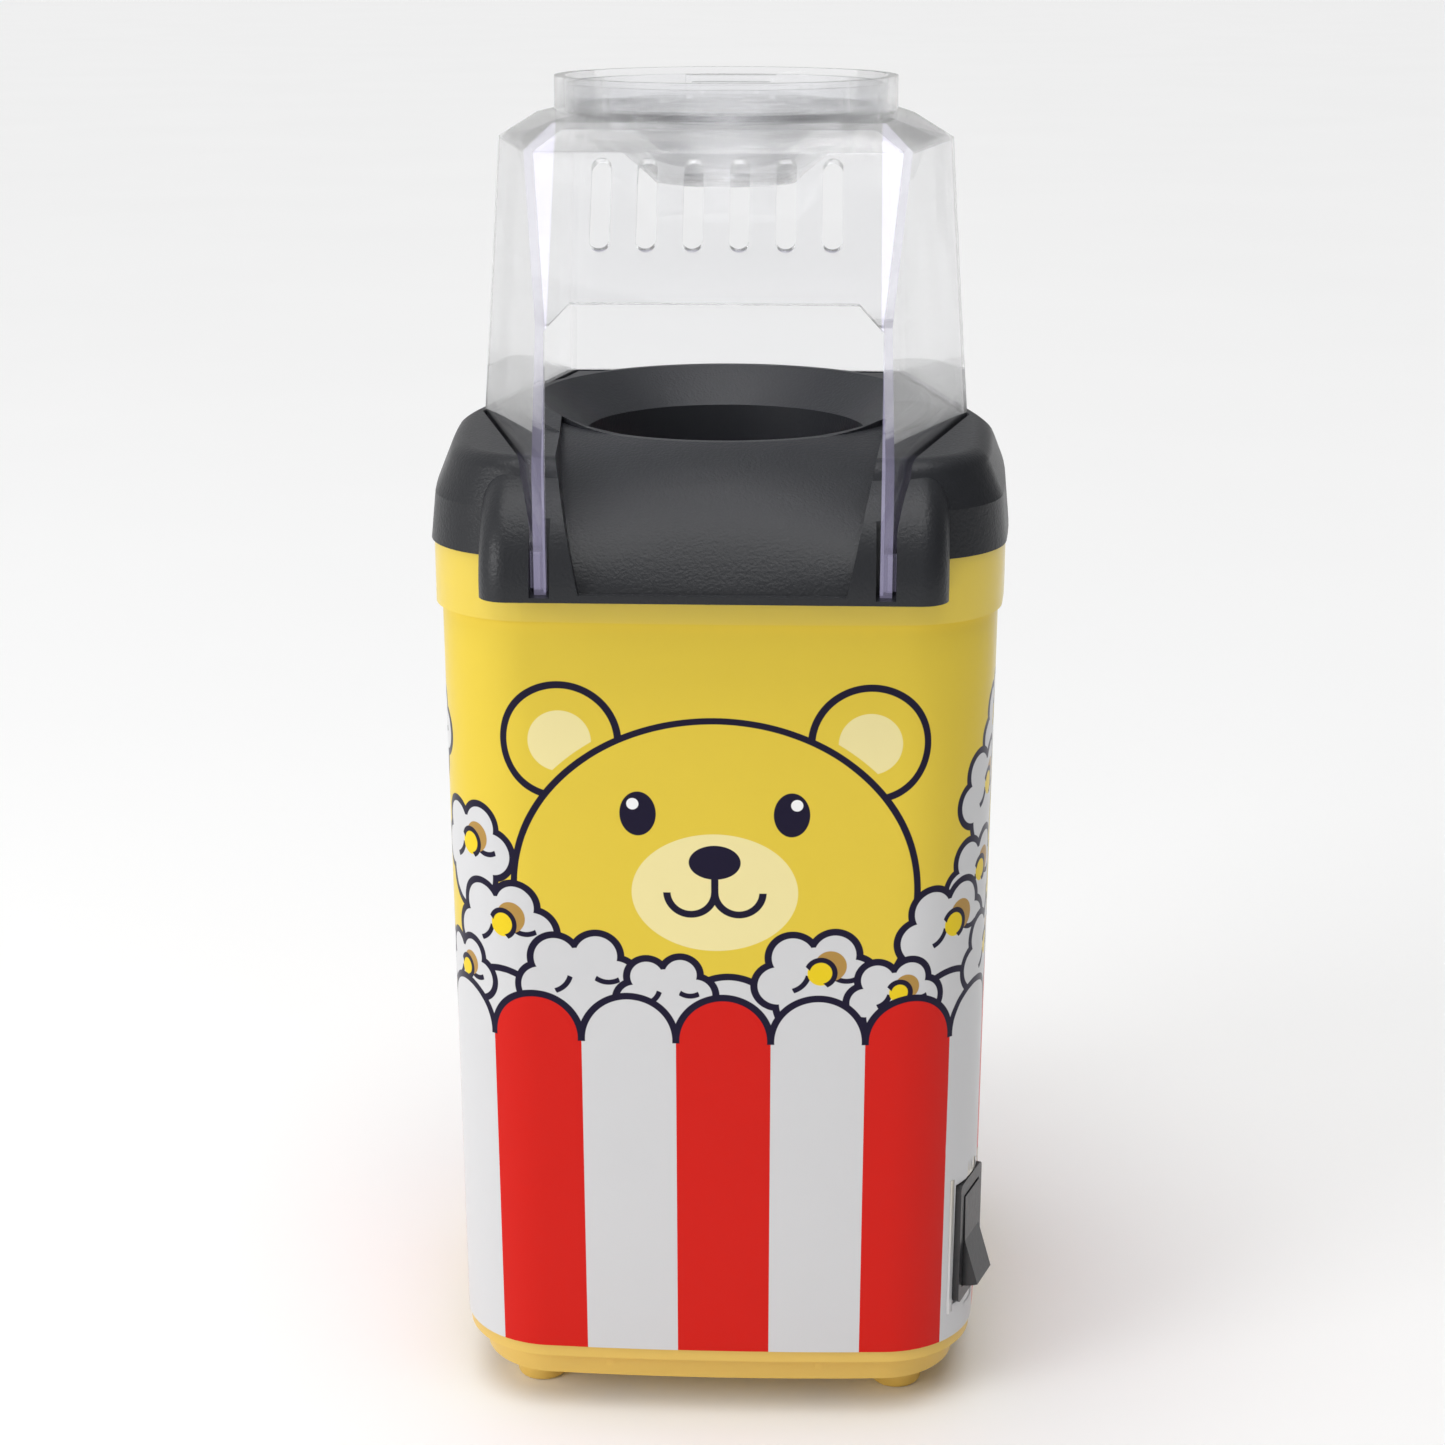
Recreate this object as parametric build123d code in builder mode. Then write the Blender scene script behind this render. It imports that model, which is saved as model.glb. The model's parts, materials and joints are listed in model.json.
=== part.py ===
from build123d import *
import os
from math import asin, cos, radians, sin, sqrt

# A small hot air popcorn maker. Millimetres, +Z up, the front faces -Y.
# The origin is on the floor, under the middle of the maker's outer box.
# Hot air is blown up through the popping chamber, whose upright axis stands
# a little behind the origin, because the spout overhangs the front.

# ---- driving dimensions ----------------------------------------------------

# Body: a rounded square in plan, with bulging sides and a slight taper
body_low_half_width = 61.8
body_low_half_depth = 61.8
body_top_half_width = 62.5
body_top_half_depth = 63.2
side_bulge = 5.0
front_bulge = 2.2
corner_radius = 22.0
body_wall = 2.0
body_height = 173.1
rim_height = 14.0
rim_step = 1.3

# Base and feet
foot_height = 8.0
foot_radius = 6.0
foot_spacing = 84.0
band_height = 6.5
band_inset = 4.0
ledge_height = 2.9
ledge_inset = 0.4
base_wall = 2.5
floor_thickness = 2.5
vent_slot_length = 34.0
vent_slot_width = 3.0
vent_pitch = 6.0
vent_count = 9

# Collar: deck, skirt, basin, chute and shoulders
collar_height = 20.0
skirt_overhang = 0.5
skirt_low_height = 10.0
skirt_low_draft = 1.0
skirt_draft = 5.0
skirt_round = 4.5
rear_bevel_gap = 2.0
rear_bevel_angle = 45.0
deck_thickness = 7.0
collar_wall = 2.6
basin_radius = 43.0
basin_depth = 4.5
basin_rim_rise = 3.5
basin_rim_width = 2.2
basin_rim_fade = 32.0
lip_radius = 40.0
throat_radius = 32.0
spout_reach = 75.0
spout_drop = 7.0
apron_height = 1.6
shoulder_half_width = 48.6
shoulder_round = 6.0
shoulder_run = 30.5
chute_top_half_width = 36.0
chute_mid_half_width = 30.0
chute_mid_rise = 4.0
chute_mid_clearance = 1.7
chute_low_half_width = 27.5
chute_low_setback = 2.0
spout_gap = 0.3
neck_radius = 46.5
neck_depth = 7.5

# Hood: clear faceted cover with a ring on top
hood_wall = 2.3
hood_fit = 0.5
hood_seat_depth = 5.5
hood_shoulder_rise = 61.5
hood_top_rise = 66.8
hood_sill_rise = 32.5
hood_fold_rise = 28.5
hood_ring_height = 7.7
hood_ring_radius = 38.0
hood_mid_forward = 4.0
hood_middle_half = 54.9
hood_rear_half = 41.0
hood_rear_back = 56.0
hood_corner_cut = 5.0
leg_clearance = 1.0
slot_count = 6
slot_pitch = 9.5
slot_width = 4.1
slot_length = 20.3

# Measuring cup
cup_wall = 1.6
cup_depth = 15.3
cup_rim_height = 6.2
cup_floor_radius = 17.5
cup_fit = 0.5
cup_ledge = 2.2
grip_width = 21.0
grip_reach = 7.0

# Popping chamber, heater and air path
chamber_wall = 1.2
chamber_depth = 79.5
gasket_thickness = 1.5
louvre_count = 16
louvre_height = 16.0
louvre_width = 2.4
shield_wall = 1.0
shield_radius = 39.5
fan_case_radius = 44.0
fan_case_wall = 2.0
fan_case_height = 32.0
fan_case_opening = 37.0
former_radius = 31.0
former_height = 24.0
coil_rings = 4
coil_pitch = 4.2
coil_wire_radius = 0.9
thermostat_radius = 9.0
thermostat_height = 6.0
fuse_radius = 2.0
fuse_length = 14.0

# Motor and fan
motor_radius = 17.5
motor_height = 32.0
end_cap_height = 5.0
bracket_thickness = 2.0
shaft_radius = 1.5
shaft_clearance = 0.06
impeller_radius = 35.0
impeller_height = 12.0
impeller_gap = 4.0
blade_count = 9
blade_thickness = 1.2
hub_radius = 7.0

# Screws and posts
screw_radius = 1.5
screw_head_radius = 2.7
screw_head_height = 2.2
screw_passage = 0.3
post_radius = 4.2
case_screw_circle = 50.0
case_post_angle = 72.0
base_screw_x = 24.0
base_screw_y = 52.5
base_screw_length = 18.0
collar_screw_x = 56.0
collar_screw_y = 20.0
collar_screw_length = 12.0
collar_boss_height = 10.5
lug_thickness = 3.5

# Power switch, in a flat pocket in the right front corner of the body
switch_side_inset = 4.9
switch_front_inset = 15.9
switch_turn = 21.0
switch_height = 41.0
switch_pad_wall = 2.0
bezel_height = 30.0
bezel_width = 15.0
bezel_thickness = 1.6
switch_case_height = 26.6
switch_case_width = 12.6
switch_case_depth = 15.0
rocker_half_length = 11.0
rocker_width = 10.0
rocker_gap = 0.3
rocker_tilt = 9.0
rocker_lift = 3.2
rocker_dip = 1.6

# Cord inlet at the back
gland_height = 31.0
gland_radius = 6.0
gland_bore = 3.6
gland_flange = 2.0
gland_depth = 5.0

# Rectifier board behind the motor
board_length = 30.0
board_width = 18.0
board_thickness = 1.6
board_gap = 3.0
board_rise = 14.0

# ---- places worked out from the driving dimensions ---------------------------

rim_half_width = body_top_half_width + rim_step
rim_half_depth = body_top_half_depth + rim_step
skirt_half_width = rim_half_width + skirt_overhang
skirt_half_depth = rim_half_depth + skirt_overhang

# The chamber's axis stands behind the origin by half of the spout's overhang
axis_y = (spout_reach - skirt_half_depth) / 2

floor_z = foot_height
ledge_z = floor_z + band_height
body_z = ledge_z + ledge_height
rim_z = body_z + body_height
collar_z = rim_z + rim_height
deck_z = collar_z + collar_height
under_deck_z = deck_z - deck_thickness
basin_z = deck_z - basin_depth
neck_z = under_deck_z - neck_depth
spout_z = collar_z - spout_drop

flange_z = neck_z - gasket_thickness - chamber_wall
chamber_floor_z = flange_z - chamber_depth
inner_floor_z = floor_z + floor_thickness
fan_case_z = inner_floor_z + 55.5
fan_case_top_z = fan_case_z + fan_case_height
motor_top_z = fan_case_z - bracket_thickness
motor_z = motor_top_z - motor_height
impeller_z = fan_case_z + fan_case_wall + impeller_gap

hood_fold_z = deck_z + hood_fold_rise
hood_sill_z = deck_z + hood_sill_rise
hood_shoulder_z = deck_z + hood_shoulder_rise
hood_top_z = deck_z + hood_top_rise
leg_z = spout_z + leg_clearance
hood_seat_z = deck_z - hood_seat_depth

# The board stands behind the motor
board_setback = motor_radius + board_gap + board_width / 2

chamber_axis = Axis((0, axis_y, 0), (0, 0, 1))


def level(height):
    """Horizontal plane at a height, centred on the chamber's axis."""
    return Plane(origin=(0, axis_y, height), x_dir=(1, 0, 0), z_dir=(0, 0, 1))


# Upright planes through the chamber's axis: x is the radius, or the distance forward
section_plane = Plane(origin=(0, axis_y, 0), x_dir=(1, 0, 0), z_dir=(0, -1, 0))
side_plane = Plane(origin=(0, axis_y, 0), x_dir=(0, -1, 0), z_dir=(-1, 0, 0))


def rounded_plan(height, half_width, half_depth, corner):
    """Rounded square with bulging sides, on the plane at a height."""
    corner_x = half_width - side_bulge
    corner_y = half_depth - front_bulge
    with BuildSketch(level(height)) as outline:
        with BuildLine():
            ThreePointArc((-corner_x, -corner_y), (0, -half_depth), (corner_x, -corner_y))
            ThreePointArc((corner_x, -corner_y), (half_width, 0), (corner_x, corner_y))
            ThreePointArc((corner_x, corner_y), (0, half_depth), (-corner_x, corner_y))
            ThreePointArc((-corner_x, corner_y), (-half_width, 0), (-corner_x, -corner_y))
        make_face()
        fillet(outline.vertices(), corner)
    return outline.sketch


def hood_outline(height, inset):
    """Six-sided plan of the hood at one of its fold heights, moved in by an inset."""
    # half width and distance forward of the front corner, half width at the
    # middle fold, half width and distance back of the rear corner
    if height >= hood_top_z - hood_wall:
        corners = (34.5, 40.5, 41.5, 34.5, 40.5)
    elif height >= hood_shoulder_z - hood_wall:
        corners = (40.0, 46.0, 50.3, 38.0, 47.0)
    elif height >= hood_fold_z:
        corners = (36.0, 67.0, 52.7, 40.0, 52.0)
    else:
        corners = (36.8, 72.0, hood_middle_half, hood_rear_half, hood_rear_back)
    front_x, front, middle_x, rear_x, rear = corners
    with BuildSketch(level(height)) as outline:
        with BuildLine():
            Polyline(
                (-front_x, -front),
                (front_x, -front),
                (middle_x, -hood_mid_forward),
                (rear_x, rear),
                (-rear_x, rear),
                (-middle_x, -hood_mid_forward),
                close=True,
            )
        make_face()
        if inset:
            offset(amount=-inset, kind=Kind.INTERSECTION)
    return outline.sketch


def round_bar(radius, low, high, x=0.0, y=0.0):
    """Upright round bar between two heights; x and y count from the chamber's axis."""
    with BuildSketch(level(low)) as disc:
        with Locations((x, y)):
            Circle(radius)
    return extrude(disc.sketch, amount=high - low)


def screws(places, head_z, length, head_below=True):
    """A pan head screw at each place, its head under or over the height head_z."""
    up = 1 if head_below else -1
    with BuildPart() as group:
        with BuildSketch(level(head_z)) as heads:
            with Locations(*places):
                Circle(screw_head_radius)
        extrude(amount=-up * screw_head_height)
        with BuildSketch(level(head_z)) as shanks:
            with Locations(*places):
                Circle(screw_radius)
        extrude(amount=up * length)
        recess = head_z - up * screw_head_height
        with BuildSketch(level(recess)) as drives:
            with Locations(*places):
                RegularPolygon(1.2, 6)
        extrude(amount=up * 1.2, mode=Mode.SUBTRACT)
    return group.part


def finish(part, name):
    """Label a finished piece and write it to its own file."""
    part.label = name
    export_step(part, "parts/" + name + ".step")


os.makedirs("parts", exist_ok=True)

# ---- power switch: its planes ------------------------------------------------

# The corner is round, so the switch's plane turns towards the front
switch_share = (switch_height - body_z) / body_height
switch_half_width = body_low_half_width + switch_share * (body_top_half_width - body_low_half_width)
switch_half_depth = body_low_half_depth + switch_share * (body_top_half_depth - body_low_half_depth)
switch_angle = radians(switch_turn)
out_of_side = Vector(cos(switch_angle), -sin(switch_angle), 0)
along_side = Vector(-sin(switch_angle), -cos(switch_angle), 0)
switch_origin = Vector(
    switch_half_width - switch_side_inset,
    axis_y - switch_half_depth + switch_front_inset,
    switch_height,
)
switch_plane = Plane(origin=switch_origin, x_dir=(0, 0, 1), z_dir=out_of_side)

tilt = radians(rocker_tilt)
rocker_out = out_of_side * cos(tilt) + Vector(0, 0, 1) * sin(tilt)
rocker_pivot = switch_origin + out_of_side * (bezel_thickness - 1.2)
rocker_plane = Plane(origin=rocker_pivot, x_dir=rocker_out, z_dir=along_side)
pin_plane = Plane(origin=rocker_pivot, x_dir=out_of_side, z_dir=along_side)
rocker_radius = sqrt(rocker_half_length ** 2 + rocker_lift ** 2)

# ---- body shell -----------------------------------------------------------------

base_screw_places = [
    (x * base_screw_x, y * base_screw_y) for x in (-1, 1) for y in (-1, 1)
]
collar_screw_places = [
    (x * collar_screw_x, y * collar_screw_y) for x in (-1, 1) for y in (-1, 1)
]
boss_height = 24.0

with BuildPart() as body_shell:
    loft(
        sections=[
            rounded_plan(body_z, body_low_half_width, body_low_half_depth, corner_radius),
            rounded_plan(rim_z, body_top_half_width, body_top_half_depth, corner_radius),
        ]
    )
    extrude(rounded_plan(rim_z, rim_half_width, rim_half_depth, corner_radius), amount=rim_height)
    inner_corner = corner_radius - body_wall
    inner_top_width = body_top_half_width - body_wall
    inner_top_depth = body_top_half_depth - body_wall
    loft(
        sections=[
            rounded_plan(
                body_z,
                body_low_half_width - body_wall,
                body_low_half_depth - body_wall,
                inner_corner,
            ),
            rounded_plan(rim_z, inner_top_width, inner_top_depth, inner_corner),
        ],
        mode=Mode.SUBTRACT,
    )
    extrude(
        rounded_plan(rim_z, inner_top_width, inner_top_depth, inner_corner),
        amount=rim_height,
        mode=Mode.SUBTRACT,
    )
    # Bosses for the base screws, joined to the front and back walls
    boss_run = body_low_half_depth - body_wall / 2 - front_bulge / 2 - base_screw_y
    with BuildSketch(level(body_z)) as bosses:
        for x, y in base_screw_places:
            toward_wall = 1 if y > 0 else -1
            with Locations((x, y)):
                Circle(post_radius)
            with Locations((x, y + toward_wall * boss_run / 2)):
                Rectangle(2 * post_radius, boss_run)
    extrude(amount=boss_height)
    with BuildSketch(level(body_z)) as pilots:
        with Locations(*base_screw_places):
            Circle(screw_radius)
    extrude(amount=base_screw_length, mode=Mode.SUBTRACT)
    # Lugs under the collar, on the side walls
    lug_run = inner_top_width - collar_screw_x + body_wall / 2 - 0.6
    with BuildSketch(level(collar_z - lug_thickness)) as lugs:
        for x, y in collar_screw_places:
            outward = 1 if x > 0 else -1
            with Locations((x, y)):
                Circle(post_radius)
            with Locations((x + outward * lug_run / 2, y)):
                Rectangle(lug_run, 2 * post_radius)
    extrude(amount=lug_thickness)
    with BuildSketch(level(collar_z - lug_thickness)) as lug_holes:
        with Locations(*collar_screw_places):
            Circle(screw_radius + screw_passage)
    extrude(amount=lug_thickness, mode=Mode.SUBTRACT)
    # Flat pocket for the switch's bezel, backed by a pad, and the hole for its case
    with BuildSketch(switch_plane):
        Rectangle(bezel_height + 2 * switch_pad_wall, bezel_width + 2 * switch_pad_wall)
    extrude(amount=-switch_pad_wall)
    with BuildSketch(switch_plane):
        Rectangle(bezel_height + 0.6, bezel_width + 0.6)
    extrude(amount=12, mode=Mode.SUBTRACT)
    with BuildSketch(switch_plane):
        Rectangle(switch_case_height + 0.3, switch_case_width + 0.3)
    extrude(amount=-2 * switch_pad_wall, mode=Mode.SUBTRACT)
    # Notch for the cord gland, open at the bottom of the back wall
    notch_top = gland_height - body_z
    with BuildSketch(Plane.XZ.offset(-axis_y - body_low_half_depth + 8)):
        with Locations((0, gland_height)):
            Circle(gland_radius)
        with Locations((0, body_z + notch_top / 2)):
            Rectangle(2 * gland_radius, notch_top)
    extrude(amount=-16, mode=Mode.SUBTRACT)
finish(body_shell.part, "body_shell")

# ---- cord gland -------------------------------------------------------------------

gland_outer = Plane.XZ.offset(-axis_y - body_low_half_depth - gland_flange)
with BuildPart() as cord_gland:
    key_height = gland_height - body_z
    with BuildSketch(gland_outer):
        with Locations((0, gland_height)):
            Circle(gland_radius - 0.2)
        with Locations((0, body_z + key_height / 2 + 0.1)):
            Rectangle(2 * gland_radius - 0.4, key_height - 0.2)
    extrude(amount=gland_flange + gland_depth)
    with BuildSketch(gland_outer):
        with Locations((0, gland_height)):
            Circle(gland_radius + 1.8)
        with Locations((0, body_z + key_height / 2)):
            Rectangle(2 * gland_radius + 3.6, key_height - 0.4)
    extrude(amount=gland_flange - 0.4)
    with BuildSketch(gland_outer):
        with Locations((0, gland_height)):
            Circle(gland_bore)
    extrude(amount=gland_flange + gland_depth, mode=Mode.SUBTRACT)
finish(cord_gland.part, "cord_gland")

# ---- base plate ---------------------------------------------------------------------

case_posts = []
for quarter in range(4):
    post_angle = radians(case_post_angle + 90 * quarter)
    case_posts.append((case_screw_circle * cos(post_angle), case_screw_circle * sin(post_angle)))
board_posts = [(x * (board_length / 2 - 4), board_setback) for x in (-1, 1)]
ledge_half_width = body_low_half_width - ledge_inset
ledge_half_depth = body_low_half_depth - ledge_inset
band_half_width = body_low_half_width - band_inset
band_half_depth = body_low_half_depth - band_inset
board_z = body_z + board_rise
head_pocket = floor_z + 4.0

with BuildPart() as base_plate:
    extrude(
        rounded_plan(floor_z, band_half_width, band_half_depth, corner_radius - band_inset),
        amount=band_height,
    )
    extrude(
        rounded_plan(ledge_z, ledge_half_width, ledge_half_depth, corner_radius - ledge_inset),
        amount=ledge_height,
    )
    extrude(
        rounded_plan(
            inner_floor_z,
            band_half_width - base_wall,
            band_half_depth - base_wall,
            corner_radius - band_inset - base_wall,
        ),
        amount=body_z - inner_floor_z,
        mode=Mode.SUBTRACT,
    )
    # Tall posts carry the fan case, short ones the board and the base screws
    with BuildSketch(level(inner_floor_z)):
        with Locations(*case_posts):
            Circle(post_radius)
    extrude(amount=fan_case_z - inner_floor_z)
    with BuildSketch(level(inner_floor_z)):
        with Locations(*board_posts):
            Circle(post_radius - 1)
    extrude(amount=board_z - inner_floor_z)
    with BuildSketch(level(inner_floor_z)):
        with Locations(*base_screw_places):
            Circle(post_radius + 0.8)
    extrude(amount=body_z - inner_floor_z)
    with BuildSketch(level(floor_z)):
        with Locations(*base_screw_places):
            Circle(screw_radius + screw_passage)
    extrude(amount=body_z - floor_z, mode=Mode.SUBTRACT)
    with BuildSketch(level(floor_z)):
        with Locations(*base_screw_places):
            Circle(screw_head_radius + screw_passage)
    extrude(amount=head_pocket - floor_z, mode=Mode.SUBTRACT)
    with BuildSketch(level(fan_case_z)):
        with Locations(*case_posts):
            Circle(screw_radius)
    extrude(amount=-10, mode=Mode.SUBTRACT)
    with BuildSketch(level(board_z)):
        with Locations(*board_posts):
            Circle(screw_radius)
    extrude(amount=-8, mode=Mode.SUBTRACT)
    # Air slots under the fan
    with BuildSketch(level(floor_z)):
        with GridLocations(vent_pitch, 1, vent_count, 1):
            SlotOverall(vent_slot_length, vent_slot_width, rotation=90)
    extrude(amount=floor_thickness, mode=Mode.SUBTRACT)
finish(base_plate.part, "base_plate")

# ---- feet -----------------------------------------------------------------------------

with BuildPart() as feet:
    with BuildSketch(level(0)):
        with GridLocations(foot_spacing, foot_spacing, 2, 2):
            Circle(foot_radius)
    extrude(amount=foot_height)
    fillet(feet.edges().group_by(Axis.Z)[0], 1.2)
finish(feet.part, "feet")

# ---- screws ---------------------------------------------------------------------------------

base_screws = screws(base_screw_places, head_pocket, base_screw_length)
finish(base_screws, "base_screws")

collar_screws = screws(collar_screw_places, collar_z - lug_thickness, collar_screw_length)
finish(collar_screws, "collar_screws")

# ---- top collar -------------------------------------------------------------------------------

# Basin: a shallow cone round the throat, inside a raised rim that sinks towards the front
basin_rim_z = deck_z + basin_rim_rise
basin_outer_radius = basin_radius + basin_rim_width
with BuildPart() as basin_rim:
    with BuildSketch(section_plane):
        with BuildLine():
            Polyline(
                (throat_radius, basin_z),
                (basin_outer_radius + 1, basin_z),
                (basin_outer_radius + 1, deck_z),
                (basin_outer_radius, basin_rim_z),
                (throat_radius, basin_rim_z),
                close=True,
            )
        make_face()
    revolve(axis=chamber_axis)
    fillet(basin_rim.edges().group_by(Axis.Z)[-1].sort_by(SortBy.LENGTH)[-1], 1.2)
    with BuildSketch(side_plane):
        with BuildLine():
            Polyline(
                (0, basin_rim_z),
                (basin_rim_fade, deck_z),
                (spout_reach, deck_z),
                (spout_reach, basin_rim_z + 1),
                (0, basin_rim_z + 1),
                close=True,
            )
        make_face()
    extrude(amount=spout_reach, both=True, mode=Mode.SUBTRACT)

with BuildPart() as basin_hollow:
    with BuildSketch(section_plane):
        with BuildLine():
            Polyline(
                (0, basin_z),
                (throat_radius, basin_z),
                (basin_radius, basin_rim_z),
                (basin_radius, basin_rim_z + 1),
                (0, basin_rim_z + 1),
                close=True,
            )
        make_face()
    revolve(axis=chamber_axis)

# Chute: from the curved lip down to the straight edge of the spout
chute_low_z = spout_z + apron_height
chute_low_front = spout_reach - chute_low_setback
chute_mid_front = rim_half_depth + chute_mid_clearance
lip_half_width = chute_top_half_width
lip_forward = sqrt(lip_radius ** 2 - lip_half_width ** 2)
with BuildPart() as chute_hollow:
    with BuildSketch(level(deck_z)) as chute_top:
        with BuildLine():
            ThreePointArc(
                (-lip_half_width, -lip_forward), (0, -lip_radius), (lip_half_width, -lip_forward)
            )
            Polyline(
                (lip_half_width, -lip_forward),
                (chute_top_half_width - 4, -spout_reach - 5),
                (-chute_top_half_width + 4, -spout_reach - 5),
                (-lip_half_width, -lip_forward),
            )
        make_face()
    with BuildSketch(level(collar_z + chute_mid_rise)):
        with BuildLine():
            Polyline(
                (-chute_mid_half_width, -chute_mid_front),
                (chute_mid_half_width, -chute_mid_front),
                (chute_mid_half_width - 1, -spout_reach - 5),
                (-chute_mid_half_width + 1, -spout_reach - 5),
                close=True,
            )
        make_face()
    with BuildSketch(level(chute_low_z)):
        with BuildLine():
            Polyline(
                (-chute_low_half_width, -chute_low_front),
                (chute_low_half_width, -chute_low_front),
                (chute_low_half_width, -spout_reach - 5),
                (-chute_low_half_width, -spout_reach - 5),
                close=True,
            )
        make_face()
    loft()
    extrude(chute_top.sketch, amount=5)

# Groove that the hood's wall stands in, deeper and open to the front at the legs
groove_outline = hood_outline(leg_z, -hood_fit)
groove_core = hood_outline(leg_z, hood_wall + hood_fit)
leg_slot_half = 36.8 + hood_fit + 0.3
leg_slot_inner = 36.8 - hood_wall - hood_fit - 0.6
leg_back = 26.0
leg_foot_back = rim_half_depth + spout_gap + 1.4
leg_step_z = collar_z + 2.0
with BuildPart() as hood_groove:
    extrude(groove_outline, amount=deck_z - leg_z + 10)
    extrude(groove_core, amount=deck_z - leg_z + 10, mode=Mode.SUBTRACT)
    with BuildSketch(level(leg_z)):
        with Locations((0, -spout_reach / 2 - 12)):
            Rectangle(2 * leg_slot_inner, spout_reach)
    extrude(amount=deck_z - leg_z + 10, mode=Mode.SUBTRACT)
    with BuildSketch(level(leg_z)):
        for side in (-1, 1):
            with Locations((side * (leg_slot_half + leg_slot_inner) / 2, -spout_reach)):
                Rectangle(leg_slot_half - leg_slot_inner, 10)
    extrude(amount=deck_z - leg_z + 10)
    # Only a shallow groove behind the legs
    with BuildSketch(side_plane) as shallow:
        with BuildLine():
            Polyline(
                (-80, leg_z - 5),
                (-80, hood_seat_z - 0.2),
                (leg_back, hood_seat_z - 0.2),
                (leg_foot_back - 8, leg_step_z - 0.5),
                (leg_foot_back - 0.4, leg_step_z - 0.5),
                (leg_foot_back - 0.4, leg_z - 0.5),
                (spout_reach + 10, leg_z - 0.5),
                (spout_reach + 10, leg_z - 5),
                close=True,
            )
        make_face()
    extrude(amount=80, both=True, mode=Mode.SUBTRACT)

# Spout block with rounded shoulders, hung over the front of the body
with BuildPart() as spout_block:
    with BuildSketch(side_plane) as spout_side:
        with BuildLine():
            shoulder_start = spout_reach - shoulder_run
            shoulder_fall = deck_z - spout_z - apron_height
            Polyline((30, spout_z), (30, deck_z), (shoulder_start, deck_z))
            EllipticalCenterArc(
                (shoulder_start, deck_z - shoulder_fall),
                shoulder_run,
                shoulder_fall,
                start_angle=0,
                arc_size=90,
            )
            Polyline((spout_reach, deck_z - shoulder_fall), (spout_reach, spout_z), (30, spout_z))
        make_face()
    extrude(amount=shoulder_half_width, both=True)
    outer_edges = spout_block.edges().filter_by(
        lambda edge: abs(abs(edge.center().X) - shoulder_half_width) < 0.01
        and edge.center().Z > spout_z + 0.1
        and edge.center().Y < axis_y - 31
    )
    fillet(outer_edges, shoulder_round)

# Hollow under the deck, behind the chute
cavity_low_width = skirt_half_width - skirt_low_draft - collar_wall
cavity_low_depth = skirt_half_depth - skirt_low_draft - collar_wall
cavity_top_width = skirt_half_width - skirt_draft - collar_wall
cavity_top_depth = skirt_half_depth - skirt_draft - collar_wall
cavity_corner = corner_radius - collar_wall
with BuildPart() as collar_cavity:
    loft(
        sections=[
            rounded_plan(collar_z, cavity_low_width, cavity_low_depth, cavity_corner),
            rounded_plan(under_deck_z, cavity_top_width, cavity_top_depth, cavity_corner),
        ]
    )
    with BuildSketch(level(collar_z)):
        with Locations((0, -spout_reach / 2 - leg_back)):
            Rectangle(2 * spout_reach, spout_reach)
    extrude(amount=collar_height, mode=Mode.SUBTRACT)

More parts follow.
